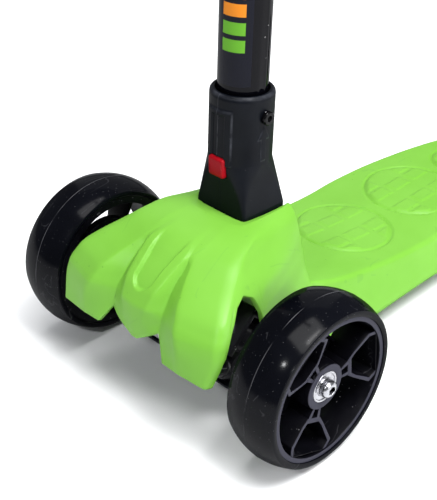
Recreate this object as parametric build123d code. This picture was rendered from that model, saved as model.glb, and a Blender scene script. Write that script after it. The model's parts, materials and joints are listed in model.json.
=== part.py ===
"""Three-wheel lean-to-steer kick scooter for a child, with a folding, telescoping T-bar.

Millimetres. +X is the rider's left, -Y is forward, +Z is up, and the floor is at Z = 0.
The model is laid out with Y = 0 at the front axle. save() then moves it along Y, so that
the origin ends on the floor under the middle of the whole scooter.
"""

from build123d import *
import math
import os

# Overall places
wheel_track = 208.8              # between the middles of the two front tyres
front_wheel_radius = 60.0
nose_front = 62.0                # how far the nose reaches ahead of the front axle
rear_axle_y = 405.0
brake_tail_y = 452.0             # rearmost edge of the brake
bar_height = 660.0               # middle of the crossbar, lowered
running_gap = 0.05               # radial clearance of everything that turns or slides
side_gap = 0.3                   # clearance between faces that pass each other

# Deck
platform_top = 51.0
platform_bottom = 22.0
platform_front_y = 40.0
platform_tail_y = 348.0
platform_front_half = 57.0
platform_widest_y = 206.0
platform_widest_half = 58.4
platform_taper_y = 300.0
platform_taper_half = 47.2
skirt_flare = 8.3                # how far the lower edge stands out past the upper one
ramp_start_y = 185.0
ramp_top = 70.0                  # height of the ramp where it meets the nose
wall = 3.5
rib = 3.0
rib_pitch = 52.0

# Nose
nose_rear_y = 66.0
nose_top = 131.0
claw_bottom = 66.0
middle_claw_bottom = 67.5
valley_top = 81.0
arch_top = 111.0

# Front wheels
front_tyre_width = 39.0
front_crown_drop = 4.9
front_rim_radius = 51.5
front_rim_wall = 4.0
hub_recess = 6.4                 # the hub's outer face lies this far inside the tyre's
hub_width = 26.2
hub_radius = 16.5
spoke_count = 3
spoke_angle = 5.0
spoke_rib = 3.2

# Bearings and axle bolts
bearing_outer = 11.0
bearing_bore = 4.0
bearing_width = 7.0
axle_radius = 3.95
bolt_head_radius = 6.2
bolt_head_height = 5.4
hex_key = 2.9

# Steering
kingpin_x = 44.0
kingpin_tilt = 45.0              # degrees from upright, with the top leaning forward
kingpin_radius = 4.0
barrel_radius = 12.0
plate_gap = 19.0                 # half the space between the bracket's plates
plate_thickness = 5.0
plate_front = 14.0
plate_back = 21.0
plate_side = 14.0
stub_radius = 10.0
stub_end_x = 82.0
steering_arm = 24.0
arm_thickness = 8.0
link_thickness = 5.0
link_rod_radius = 4.0
link_pin_radius = 3.0
eye_radius = 8.0
cover_top = 31.0
cover_thickness = 3.0
cover_front_y = -20.0
cover_half = 54.0
spring_wire = 1.3
spring_coil = 6.0
post_half = 4.0
collar_x = 28.0

# Column
column_rake = 3.57               # degrees, leaning back
column_y = 41.9                  # where the column's axis is at column_base
column_base = 130.0
sleeve_radius = 21.5
sleeve_bottom = 35.0
sleeve_top = 83.0
panel_rise = 0.9
foot_half = 17.8
flare_half = 22.6
flare_depth = 40.0
flare_back = 2.6
tube_radius = 16.75
tube_wall = 1.75
tube_bottom = 44.5
tube_top = 352.0
inner_tube_radius = 14.0
inner_tube_wall = 1.5
inner_tube_bottom = 84.0
plug_length = 22.0
bush_length = 25.0

# Fold hinge
fold_y = 58.0
fold_z = 112.0
fold_pin_radius = 3.0
fold_cheek = 6.0
fold_ear = 10.0
hinge_floor = 98.0
hinge_half = 25.0

# Release button and latch
button_z = 163.5
button_half = 9.3
button_height = 15.0
button_face_y = 20.2
button_depth = 8.2
latch_y = 31.0
latch_thickness = 2.5
latch_half = 7.0
tongue_z = 106.5
tongue_thickness = 3.0
tongue_tip_y = 23.4
release_travel = 3.2

# Socket screw
screw_z = 198.0
screw_radius = 2.5
screw_head_radius = 4.6
screw_head_height = 3.0

# Clamp at the top of the lower tube
collar_radius = 21.0
collar_height = 34.0
collar_ear = 17.0
collar_slit = 2.4
clamp_bolt_radius = 3.0
lever_length = 46.0
lever_width = 12.0
lever_thickness = 5.0

# Handlebar
bar_radius = 11.1
bar_wall = 1.5
bar_half = 118.0
tee_radius = 17.0
tee_half = 24.0
grip_radius = 15.5
grip_length = 92.0
grip_flange = 19.5
grip_end = 3.5

# Rear end
rear_wheel_radius = 40.0
rear_tyre_width = 24.0
rear_wheel_gap = 2.0
rear_rim_radius = 31.0
fork_clearance = 2.0                # between a rear tyre and the fork's cheek
fork_wall = 6.0
fork_inner = rear_wheel_gap / 2 + rear_tyre_width + fork_clearance
fork_outer = fork_inner + fork_wall
fork_end_radius = 14.0
brake_pin_y = 354.0
brake_pin_z = 60.0
brake_pin_radius = 2.5
brake_ear = 7.0
brake_clearance = 6.5
brake_thickness = 3.5
brake_half = 31.0
pad_thickness = 2.0

# Fasteners
screw_shank = 2.2
screw_cap = 4.2

# Worked out from the sizes above
axle_z = front_wheel_radius
rear_axle_z = rear_wheel_radius
wheel_x = wheel_track / 2
tyre_inner_x = wheel_x - front_tyre_width / 2
tyre_outer_x = wheel_x + front_tyre_width / 2
hub_outer_x = tyre_outer_x - hub_recess
hub_inner_x = hub_outer_x - hub_width
cos_tilt = math.cos(math.radians(kingpin_tilt))
cos_rake = math.cos(math.radians(column_rake))
tan_rake = math.tan(math.radians(column_rake))
middle_y = (brake_tail_y - nose_front) / 2
bar_up = (bar_height - column_base) / cos_rake

column_frame = Plane(
    origin=(0, column_y, column_base),
    x_dir=(1, 0, 0),
    z_dir=(0, math.sin(math.radians(column_rake)), cos_rake),
)


def kingpin_frame(x):
    """Frame on a kingpin: local Z runs up the pin, local Y runs up and back from it."""
    tilt = math.radians(kingpin_tilt)
    return Plane(origin=(x, 0, axle_z), x_dir=(1, 0, 0), z_dir=(0, -math.sin(tilt), math.cos(tilt)))


def rod_z(radius, z0, z1, x=0.0, y=0.0):
    """Round bar standing on z0, up to z1."""
    return Pos(x, y, (z0 + z1) / 2) * Cylinder(radius, z1 - z0)


def ring_z(outer, inner, z0, z1):
    return rod_z(outer, z0, z1) - rod_z(inner, z0 - 1, z1 + 1)


def rod_x(radius, x0, x1, y, z):
    """Round bar along X."""
    return Pos((x0 + x1) / 2, y, z) * Rot(0, 90, 0) * Cylinder(radius, x1 - x0)


def ring_x(outer, inner, x0, x1, y, z):
    return rod_x(outer, x0, x1, y, z) - rod_x(inner, x0 - 1, x1 + 1, y, z)


def block(x0, x1, y0, y1, z0, z1):
    """Box between two corners."""
    return Pos((x0 + x1) / 2, (y0 + y1) / 2, (z0 + z1) / 2) * Box(x1 - x0, y1 - y0, z1 - z0)


def side_slab(points, x0, x1):
    """Outline in Y and Z, made into a slab from x0 to x1."""
    outline = make_face(Polyline(*[(x0, y, z) for y, z in points], close=True))
    return extrude(outline, amount=x1 - x0, dir=(1, 0, 0))


def coil(radius, wire, length, turns):
    """Helical spring that stands on Z = 0."""
    path = Helix(pitch=(length - 2 * wire) / turns, height=length - 2 * wire, radius=radius)
    profile = Plane(origin=path @ 0, z_dir=path % 0) * Circle(wire)
    return Pos(0, 0, wire) * sweep(profile, path=path, is_frenet=True)


def mirrored(shape):
    """The same piece on the rider's right."""
    return mirror(shape, about=Plane.YZ)


def save(name, *shapes):
    """Write one node, moved so that the origin is under the scooter's middle."""
    solids = []
    for shape in shapes:
        solids += shape.solids()
    moved = [Pos(0, -middle_y, 0) * solid for solid in solids]
    node = moved[0] if len(moved) == 1 else Compound(children=moved)
    export_step(node, f"parts/{name}.step")


# Deck: one moulding that makes the standing platform, the nose and the rear fork

def nose_outline(z, half, inset):
    """One level of the nose: half of it is given, and it is moved inward by the inset."""
    ring = half + [(-x, y) for x, y in reversed(half[:-1])]
    if inset > 0:
        count = len(ring)
        moved = []
        for index in range(count):
            before, here, after = ring[index - 1], ring[index], ring[(index + 1) % count]
            first = Vector(here[0] - before[0], here[1] - before[1]).normalized()
            second = Vector(after[0] - here[0], after[1] - here[1]).normalized()
            inward = Vector(-first.Y - second.Y, first.X + second.X).normalized()
            share = max(0.5, inward.dot(Vector(-first.Y, first.X)))
            moved.append((here[0] - inward.X * inset / share, here[1] - inward.Y * inset / share))
        ring = moved
    return make_face(Polyline(*[(x, y, z) for x, y in ring], close=True))


def nose_levels(top):
    """Levels of the nose. Each goes from the rear corner round the side to the middle of the front.

    Its points are the rear corner, the side, the outer ridge, the crease on the outer claw, the
    valley beside it, the crest of the middle claw and the middle.
    """
    rear = nose_rear_y
    tip = -nose_front
    side = 28.0
    return [
        (40.0, [(54, rear), (58.5, side), (75, tip + 2.5), (50, tip + 0.5), (31.9, tip + 1), (8, tip + 5), (0, tip + 5)]),
        (66.0, [(50, rear), (58.5, side), (75, tip + 2.5), (50, tip + 0.5), (31.9, tip + 1), (8, tip + 5), (0, tip + 5)]),
        (82.0, [(43, rear), (57.5, side), (79.8, tip + 9.5), (46, tip + 1.5), (22.6, tip + 8.5), (9, tip + 6), (0, tip + 5.5)]),
        (95.0, [(38.5, rear), (56, side), (78, tip + 13.5), (41, tip + 4.5), (22.5, tip + 11), (11.4, tip + 7.8), (0, tip + 8)]),
        (105.0, [(35, rear), (53, side), (73, tip + 20.5), (36, tip + 12.5), (22, tip + 18), (13.8, tip + 13), (0, tip + 15.5)]),
        (112.0, [(32, rear), (48.5, side), (65, tip + 31), (31.5, tip + 22.5), (21, tip + 26), (15.2, tip + 21), (0, tip + 21)]),
        (118.0, [(29, rear), (44, side), (56.5, tip + 43), (26, tip + 33.5), (21, tip + 34), (16.7, tip + 29.5), (0, tip + 28)]),
        (124.0, [(26.5, rear), (40, side), (49, tip + 55), (22, tip + 43), (19, tip + 42), (16.5, tip + 39.5), (0, tip + 37)]),
        (128.0, [(25, rear), (35.5, side), (41, tip + 73), (22, tip + 57), (16, tip + 56), (12, tip + 53), (0, tip + 52)]),
        (top, [(24.5, rear), (28, side + 3), (26, tip + 81), (18, tip + 77), (14, tip + 77), (10, tip + 77), (0, tip + 76)]),
    ]


def nose_solid(inset):
    """Bonnet over the steering: wide and clawed at the bottom, small round the column."""
    sections = [nose_outline(z, half, inset) for z, half in nose_levels(nose_top - inset)]
    return loft(sections, ruled=True)


def nose_shell():
    """Bonnet hollowed out, with its wheel arches, its claws and the column's opening."""
    shell = nose_solid(0) - nose_solid(wall)
    back = platform_front_y
    tip = -nose_front
    arch = [
        (tip + 14, 30), (tip + 14, 94), (tip + 24, 103), (tip + 34, 108), (-14, arch_top),
        (-7, arch_top - 14), (-2, 82), (14, 76), (back - 8, 72), (back, 60), (back, 30),
    ]
    for side in (-1, 1):
        x0, x1 = sorted((side * 50, side * 90))
        shell -= side_slab(arch, x0, x1)
        gap = Polyline(
            (0, -80, 30), (0, -80, middle_claw_bottom), (side * 3, -80, middle_claw_bottom),
            (side * 22.6, -80, valley_top), (side * 31.9, -80, claw_bottom),
            (side * 90, -80, claw_bottom), (side * 90, -80, 30), close=True,
        )
        shell -= extrude(make_face(gap), amount=80 + back, dir=(0, 1, 0))
    shell -= block(-hinge_half, hinge_half, 21.5, 90, hinge_floor, 200)
    return shell


def platform_outline(z, flare):
    """Plan of the platform at one height."""
    side = [
        (platform_front_half + flare, platform_front_y),
        (platform_widest_half + flare, platform_widest_y),
        (platform_taper_half + flare, platform_taper_y),
        (fork_outer + flare / 2, platform_tail_y),
    ]
    left = Spline(*[(x, y, z) for x, y in side], tangents=[(0, 1, 0), (-0.35, 1, 0)])
    right = Spline(*[(-x, y, z) for x, y in reversed(side)], tangents=[(-0.35, -1, 0), (0, -1, 0)])
    tail = Line(left @ 1, right @ 0)
    front = Line(right @ 1, left @ 0)
    return make_face([left, tail, right, front])


def platform_solid(inset):
    """Platform as a block with sloping skirts, cut to its side profile."""
    height = ramp_top + 6 - platform_bottom
    slope = skirt_flare / (platform_top - platform_bottom)
    bottom = platform_outline(platform_bottom - 1, skirt_flare + slope - inset)
    top = platform_outline(platform_bottom + height, skirt_flare - slope * height - inset)
    body = loft([bottom, top])
    low = platform_bottom - 2 if inset else platform_bottom
    front = platform_front_y + inset
    tail = platform_tail_y - inset
    lift = -inset
    ramp = Spline(
        (0, nose_rear_y, ramp_top + lift), (0, ramp_start_y, platform_top + lift),
        tangents=[(0, 1, -0.32), (0, 1, 0)],
    )
    edges = [
        Line((0, front, low), (0, front, ramp_top + lift)),
        Line((0, front, ramp_top + lift), (0, nose_rear_y, ramp_top + lift)),
        ramp,
        Line((0, ramp_start_y, platform_top + lift), (0, tail, platform_top + lift)),
        Line((0, tail, platform_top + lift), (0, tail, low)),
        Line((0, tail, low), (0, front, low)),
    ]
    profile = extrude(make_face(edges), amount=90, both=True, dir=(1, 0, 0))
    return body & profile


def platform_ribs():
    """Stiffening ribs under the platform."""
    ribs = block(-22, -22 + rib, platform_front_y, platform_tail_y, platform_bottom + 3, 75)
    ribs += block(22 - rib, 22, platform_front_y, platform_tail_y, platform_bottom + 3, 75)
    y = platform_front_y + rib_pitch
    while y < platform_tail_y - 20:
        ribs += block(-70, 70, y, y + rib, platform_bottom + 3, 75)
        y += rib_pitch
    return ribs


def keel():
    """Box inside the nose that carries the steering bracket and the fold bracket."""
    frame = kingpin_frame(0)
    reach = plate_gap + plate_thickness
    face = [frame.from_local_coords((0, plate_back, up)) for up in (-reach, reach)]
    low, high = [(point.Y, point.Z) for point in face]
    outline = [
        low, high, (22, hinge_floor), (nose_rear_y, hinge_floor),
        (nose_rear_y, cover_top), (low[0], cover_top),
    ]
    body = side_slab(outline, -30, 30)
    inner = [
        (low[0] + 6, low[1] - 1), (high[0] + 9, high[1] - 3.5), (24, hinge_floor - 6),
        (nose_rear_y - wall, hinge_floor - 6), (nose_rear_y - wall, 30), (low[0] + 6, 30),
    ]
    body -= side_slab(inner, -26, 26)
    shelf = block(-60, 60, 22, nose_rear_y, hinge_floor - 4, hinge_floor)
    return body + (shelf & nose_solid(1))


def rear_fork():
    """Two cheeks that hold the rear axle, with ears for the brake's pin."""
    arms = None
    for side in (-1, 1):
        x0, x1 = sorted((side * fork_inner, side * fork_outer))
        arm = block(x0, x1, platform_tail_y - 8, rear_axle_y, 26, 54)
        arm += rod_x(fork_end_radius, x0, x1, rear_axle_y, rear_axle_z)
        arm += block(x0, x1, brake_pin_y - brake_ear, brake_pin_y + brake_ear, 40, brake_pin_z)
        arm += rod_x(brake_ear, x0, x1, brake_pin_y, brake_pin_z)
        arms = arm if arms is None else arms + arm
    arms -= rod_x(axle_radius + running_gap, -50, 50, rear_axle_y, rear_axle_z)
    arms -= rod_x(brake_pin_radius, -50, 50, brake_pin_y, brake_pin_z)
    return arms


def deck():
    platform = platform_solid(0) - platform_solid(wall) + (platform_ribs() & platform_solid(1))
    body = platform + nose_shell() + keel() + rear_fork()
    body -= block(-hinge_half, hinge_half, 21.5, 110, hinge_floor, 200)
    for x, y in fold_screw_places():
        body -= rod_z(screw_shank, hinge_floor - 8, hinge_floor + 1, x, y)
    frame = kingpin_frame(0)
    for x, up in bracket_screw_places():
        body -= frame * (Pos(x, plate_back + 3, up) * Rot(90, 0, 0) * Cylinder(screw_shank, 14))
    for x, y in cover_screw_places():
        body -= rod_z(screw_shank, cover_top - 1, cover_top + 10, x, y)
    return body


def fold_screw_places():
    return [(x, y) for x in (-21, 21) for y in (30, 36)]


def bracket_screw_places():
    return [(x, up) for x in (-15, 15) for up in (-12, 12)]


def cover_screw_places():
    """Two screws into the keel's front wall and one into the bracket's post."""
    keel_front = kingpin_frame(0).from_local_coords((0, plate_back, -plate_gap - plate_thickness)).Y
    return [(-20, keel_front + 3), (20, keel_front + 3), (0, -6)]


# Steering bracket: bent plate under the nose, in which both kingpins stand

def steering_bracket():
    width = kingpin_x + plate_side
    body = block(-width, width, plate_back - plate_thickness, plate_back, -plate_gap, plate_gap)
    for level in (-plate_gap - plate_thickness, plate_gap):
        body += block(-width, width, -plate_front, plate_back, level, level + plate_thickness)
    post = block(
        -post_half, post_half, -steering_arm - 8, -plate_front + 1,
        -plate_gap - plate_thickness, link_level() + 8,
    )
    body += post
    bore = Pos(0, -steering_arm, link_level()) * Rot(0, 90, 0) * Cylinder(link_rod_radius + 1, 30)
    body -= bore
    for x in (-kingpin_x, kingpin_x):
        body -= rod_z(kingpin_radius, -40, 40, x)
    for x, up in bracket_screw_places():
        body -= Pos(x, plate_back, up) * Rot(90, 0, 0) * Cylinder(screw_shank, 20)
    body = kingpin_frame(0) * body - block(-20, 20, -80, 80, 0, cover_top)
    for x, y in cover_screw_places():
        body -= rod_z(screw_shank, cover_top - 1, cover_top + 10, x, y)
    return body


def link_level():
    """Height of the link's middle up the kingpins."""
    return arm_thickness / 2 + side_gap + link_thickness / 2


def bracket_screws():
    frame = kingpin_frame(0)
    screws = []
    for x, up in bracket_screw_places():
        screw = Pos(x, plate_back + 2.5, up) * Rot(90, 0, 0) * Cylinder(screw_shank, 15)
        screw += Pos(x, plate_back - plate_thickness - 1.25, up) * Rot(90, 0, 0) * Cylinder(screw_cap, 2.5)
        screws.append(frame * screw)
    return screws


def kingpin(x):
    """Bolt with a hexagon head above the bracket."""
    reach = plate_gap + plate_thickness
    bolt = rod_z(kingpin_radius, -reach - 8, reach)
    bolt += Pos(0, 0, reach) * extrude(RegularPolygon(7.5, 6), amount=5.3)
    return kingpin_frame(x) * bolt


def kingpin_nut(x):
    reach = plate_gap + plate_thickness
    nut = Pos(0, 0, -reach - 6.5) * extrude(RegularPolygon(7.5, 6), amount=6.5)
    return kingpin_frame(x) * (nut - rod_z(kingpin_radius, -50, 0))


# Knuckle: turns on its kingpin and carries one front wheel

def knuckle():
    """Left knuckle."""
    frame = kingpin_frame(kingpin_x)
    half = plate_gap - side_gap
    arm = block(-7, 7, -steering_arm, 0, -arm_thickness / 2, arm_thickness / 2)
    arm += rod_z(eye_radius, -arm_thickness / 2, arm_thickness / 2, 0, -steering_arm)
    body = frame * (rod_z(barrel_radius, -half, half) + arm)
    body += rod_x(stub_radius, kingpin_x, stub_end_x, 0, axle_z)
    body += rod_x(6.5, stub_end_x - 1, hub_inner_x - side_gap, 0, axle_z)
    hole = rod_z(kingpin_radius + running_gap, -40, 40)
    hole += rod_z(link_pin_radius, -20, 20, 0, -steering_arm)
    body -= frame * hole
    body -= rod_x(axle_radius, kingpin_x + 14, hub_inner_x + 5, 0, axle_z)
    return body


def link_pin():
    """Left pin that joins the link to the steering arm."""
    low = -arm_thickness / 2 - 3
    high = arm_thickness / 2 + link_thickness + 2 * side_gap
    pin = rod_z(link_pin_radius, low, high, 0, -steering_arm)
    pin += rod_z(5, high, high + 2, 0, -steering_arm)
    pin += rod_z(4.5, low, -arm_thickness / 2, 0, -steering_arm)
    return kingpin_frame(kingpin_x) * pin


def axle_bolt():
    """Left front axle: a bolt with a domed head and a hexagon recess."""
    head_x = hub_outer_x + side_gap
    bolt = rod_x(axle_radius, kingpin_x + 14, head_x, 0, axle_z)
    head = rod_x(bolt_head_radius, head_x, head_x + bolt_head_height, 0, axle_z)
    rim = head.edges().group_by(Axis.X)[-1]
    head = fillet(rim, 3.2)
    recess = Plane(origin=(head_x + 2.2, 0, axle_z), z_dir=(1, 0, 0)) * RegularPolygon(hex_key, 6)
    return bolt + (head - extrude(recess, amount=10))


def axle_sleeve():
    """Spacer between the two bearings of a front wheel."""
    x0 = hub_inner_x + bearing_width + side_gap
    x1 = hub_outer_x - bearing_width - side_gap
    return ring_x(5.6, axle_radius, x0, x1, 0, axle_z)


# Link: ties both knuckles together, with a spring each side of the bracket's post

def steering_link():
    level = link_level()
    half = link_thickness / 2
    rod = Pos(0, -steering_arm, level) * Rot(0, 90, 0) * Cylinder(link_rod_radius, 2 * (kingpin_x - 10))
    for side in (-1, 1):
        eye = rod_z(eye_radius, level - half, level + half, side * kingpin_x, -steering_arm)
        x0, x1 = sorted((side * (kingpin_x - 13), side * kingpin_x))
        rod += eye + block(x0, x1, -steering_arm - 6, -steering_arm + 6, level - half, level + half)
        collar = Pos(side * (collar_x + 1.5), -steering_arm, level) * Rot(0, 90, 0)
        rod += collar * Cylinder(spring_coil + spring_wire, 3)
    # The left eye fits its pin. The right one has play, which the real link has too.
    rod -= rod_z(link_pin_radius + running_gap, -20, 40, kingpin_x, -steering_arm)
    rod -= rod_z(link_pin_radius + 0.4, -20, 40, -kingpin_x, -steering_arm)
    return kingpin_frame(0) * rod


def centring_springs():
    length = collar_x - post_half - 2 * side_gap
    spring = coil(spring_coil, spring_wire, length, 6)
    springs = []
    for turn, x in ((90, post_half + side_gap), (-90, -post_half - side_gap)):
        springs.append(kingpin_frame(0) * (Pos(x, -steering_arm, link_level()) * Rot(0, turn, 0) * spring))
    return springs


def belly_cover():
    """Flat cover under the steering."""
    back = platform_front_y - side_gap
    plate = block(-cover_half, cover_half, cover_front_y, back, cover_top - cover_thickness, cover_top)
    plate = fillet(plate.edges().filter_by(Axis.Z), 6)
    plate = chamfer(plate.faces().sort_by(Axis.Z)[0].edges(), 1.2)
    for x, y in cover_screw_places():
        plate -= rod_z(screw_shank, cover_top - 5, cover_top + 5, x, y)
    return plate


def cover_screws():
    screws = []
    for x, y in cover_screw_places():
        bottom = cover_top - cover_thickness
        screw = rod_z(screw_shank, bottom - 1, cover_top + 9, x, y)
        screws.append(screw + rod_z(screw_cap, bottom - 2.2, bottom, x, y))
    return screws


# Wheels

def tyre(radius, width, inner, drop, x, y, z):
    """Solid rubber tyre with a rounded crown, round an axis along X."""
    half = width / 2
    steps = 8
    crown = []
    for index in range(steps + 1):
        across = -1 + 2 * index / steps
        crown.append((across * half, radius - drop * across * across))
    arc = Spline(*[(a, 0, r) for a, r in crown])
    edges = [
        arc,
        Line(arc @ 1, (half, 0, inner)),
        Line((half, 0, inner), (-half, 0, inner)),
        Line((-half, 0, inner), arc @ 0),
    ]
    return Pos(x, y, z) * revolve(make_face(edges), axis=Axis.X)


def spoke_outline(points):
    """Outline in radius and half angle, mirrored about the spoke's middle."""
    ring = [(r, a) for r, a in points] + [(r, -a) for r, a in reversed(points)]
    flat = []
    for r, a in ring:
        angle = math.radians(a)
        flat.append((0, r * math.cos(angle), r * math.sin(angle)))
    return make_face(Polyline(*flat, close=True))


def front_rim():
    """Left front rim: hub, ring and open spokes."""
    half = front_tyre_width / 2 - 0.8
    rim = ring_x(front_rim_radius, front_rim_radius - front_rim_wall, wheel_x - half, wheel_x + half, 0, axle_z)
    rim += ring_x(hub_radius, bearing_outer - 2, hub_inner_x, hub_outer_x, 0, axle_z)
    reach = front_rim_radius - front_rim_wall + 0.5
    frame = [(hub_radius - 1, 15), (22, 17), (28, 22), (reach - 4, 27), (reach, 20)]
    window = [(26, 13), (reach - 6, 21), (reach - 2.5, 15)]
    slot = [(hub_radius + 2.5, 6), (23, 8)]
    spoke = extrude(spoke_outline(frame), amount=hub_width - 4, dir=(1, 0, 0))
    for hole in (window, slot):
        spoke -= extrude(spoke_outline(hole), amount=60, both=True, dir=(1, 0, 0))
    for index in range(spoke_count):
        turned = Rot(spoke_angle + 360 / spoke_count * index, 0, 0) * spoke
        rim += Pos(hub_inner_x + 2, 0, axle_z) * turned
    for x0 in (hub_inner_x, hub_outer_x - bearing_width):
        rim -= rod_x(bearing_outer, x0 - 0.01, x0 + bearing_width + 0.01, 0, axle_z)
    return rim


def bearing(x0, y, z):
    """Ball bearing with a shield groove on both faces."""
    body = ring_x(bearing_outer, bearing_bore, x0, x0 + bearing_width, y, z)
    for x in (x0 - 1, x0 + bearing_width - 0.5):
        body -= ring_x(9.4, 6.0, x, x + 1.5, y, z)
    return body


def rear_rim(x):
    """Rear rim: hub, ring and a web with round holes."""
    half = rear_tyre_width / 2
    rim = ring_x(rear_rim_radius, rear_rim_radius - 3, x - half, x + half, rear_axle_y, rear_axle_z)
    rim += ring_x(15, bearing_outer - 2, x - half, x + half, rear_axle_y, rear_axle_z)
    rim += ring_x(rear_rim_radius - 2, 14, x - 2.5, x + 2.5, rear_axle_y, rear_axle_z)
    for index in range(6):
        angle = math.radians(60 * index)
        y = rear_axle_y + 21.5 * math.cos(angle)
        z = rear_axle_z + 21.5 * math.sin(angle)
        rim -= rod_x(4.5, x - 10, x + 10, y, z)
    for x0 in (x - half, x + half - bearing_width):
        rim -= rod_x(bearing_outer, x0 - 0.01, x0 + bearing_width + 0.01, rear_axle_y, rear_axle_z)
    return rim


def rear_bearings(x):
    half = rear_tyre_width / 2
    return [bearing(x0, rear_axle_y, rear_axle_z) for x0 in (x - half, x + half - bearing_width)]


def rear_wheel_x():
    return (rear_tyre_width + rear_wheel_gap) / 2


def rear_axle_spacers():
    """Rings between the cheeks, the two wheels and their bearings."""
    y, z = rear_axle_y, rear_axle_z
    edge = rear_wheel_gap / 2 + rear_tyre_width
    rings = [ring_x(6, axle_radius, -rear_wheel_gap / 2 + 0.1, rear_wheel_gap / 2 - 0.1, y, z)]
    for side in (-1, 1):
        x0, x1 = sorted((side * (edge + 0.1), side * fork_inner))
        rings.append(ring_x(6, axle_radius, x0, x1, y, z))
    return rings


def rear_axle_bolt():
    y, z = rear_axle_y, rear_axle_z
    head = rod_x(bolt_head_radius, fork_outer, fork_outer + bolt_head_height, y, z)
    head = fillet(head.edges().group_by(Axis.X)[-1], 3.2)
    recess = Plane(origin=(fork_outer + 2.2, y, z), z_dir=(1, 0, 0)) * RegularPolygon(hex_key, 6)
    return rod_x(axle_radius, -fork_outer - 7, fork_outer, y, z) + (head - extrude(recess, amount=10))


def rear_axle_nut():
    y, z = rear_axle_y, rear_axle_z
    nut = Plane(origin=(-fork_outer, y, z), z_dir=(-1, 0, 0)) * RegularPolygon(7.5, 6)
    return extrude(nut, amount=6.5) - rod_x(axle_radius, -60, 0, y, z)


# Rear brake: mudguard pressed down by the foot

def brake_band(inner, outer, x0, x1, start, end):
    """Part of a ring round the rear axle, between two angles up from straight back."""
    band = ring_x(outer, inner, x0, x1, rear_axle_y, rear_axle_z)
    reach = 200
    wedge = [(rear_axle_y, rear_axle_z)]
    for index in range(7):
        angle = math.radians(start + (end - start) * index / 6)
        wedge.append((rear_axle_y + reach * math.cos(angle), rear_axle_z + reach * math.sin(angle)))
    return band & side_slab(wedge, x0 - 1, x1 + 1)


def rear_brake():
    inner = rear_wheel_radius + brake_clearance
    outer = inner + brake_thickness
    body = brake_band(inner, outer, -brake_half, brake_half, 22, 148)
    for side in (-1, 1):
        x0, x1 = sorted((side * (brake_half - 3), side * brake_half))
        body += brake_band(inner - 2.5, outer, x0, x1, 30, 128)
    lip = [(brake_tail_y - 8, 58), (brake_tail_y, 54), (brake_tail_y, 57.5), (brake_tail_y - 5, 62)]
    body += side_slab(lip, -brake_half + 2, brake_half - 2)
    lug = [
        (brake_pin_y - 3, brake_pin_z - 5), (brake_pin_y + 5, brake_pin_z - 5),
        (brake_pin_y + 16, brake_pin_z + 8), (brake_pin_y + 12, brake_pin_z + 12),
    ]
    for side in (-1, 1):
        x0, x1 = sorted((side * 9, side * (fork_inner - side_gap)))
        knuckle_ear = rod_x(brake_ear - 1, x0, x1, brake_pin_y, brake_pin_z) + side_slab(lug, x0, x1)
        body += knuckle_ear
    body -= rod_x(brake_pin_radius + running_gap, -50, 50, brake_pin_y, brake_pin_z)
    return body


def brake_pad():
    """Steel plate under the mudguard that rubs on both tyres."""
    outer = rear_wheel_radius + brake_clearance
    return brake_band(outer - pad_thickness, outer, -24, 24, 62, 104)


def brake_pin():
    y, z = brake_pin_y, brake_pin_z
    pin = rod_x(brake_pin_radius, -fork_outer - 1.5, fork_outer, y, z)
    return pin + rod_x(4.2, fork_outer, fork_outer + 2, y, z)


def brake_spring():
    """Torsion spring round the brake's pin, with one leg under the mudguard."""
    body = Pos(-6, brake_pin_y, brake_pin_z) * Rot(0, 90, 0) * coil(4.2, 0.8, 12, 5)
    return body


# Fold bracket: steel yoke on the deck in which the column's foot turns

def fold_bracket():
    top = fold_z + fold_ear
    body = block(-hinge_half + 1, hinge_half - 1, 22, fold_y + 6, hinge_floor, hinge_floor + 3)
    for side in (-1, 1):
        x0, x1 = sorted((side * (foot_half + 0.5), side * (foot_half + fold_cheek)))
        cheek = [
            (40, hinge_floor), (44, 114), (fold_y - 7, top - 2), (fold_y, top - 2),
            (fold_y + 6, hinge_floor),
        ]
        body += side_slab(cheek, x0, x1) + rod_x(fold_ear, x0, x1, fold_y, fold_z)
    front = block(-hinge_half + 5, hinge_half - 5, 22, 26.2, hinge_floor, 118)
    notch = block(
        -latch_half - 0.5, latch_half + 0.5, 20, 30,
        tongue_z - tongue_thickness / 2 - side_gap, 140,
    )
    body += front - notch
    body -= rod_x(fold_pin_radius, -60, 60, fold_y, fold_z)
    for x, y in fold_screw_places():
        body -= rod_z(screw_shank, hinge_floor - 1, hinge_floor + 4, x, y)
    return body


def fold_screws():
    screws = []
    for x, y in fold_screw_places():
        screw = rod_z(screw_shank, hinge_floor - 8, hinge_floor + 3, x, y)
        screws.append(screw + rod_z(2.8, hinge_floor + 3, hinge_floor + 5.2, x, y))
    return screws


def fold_pin():
    half = foot_half + fold_cheek
    pin = rod_x(fold_pin_radius, -half, half, fold_y, fold_z)
    return pin


# Column: the socket, what is fixed in it, and the lower tube

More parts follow.
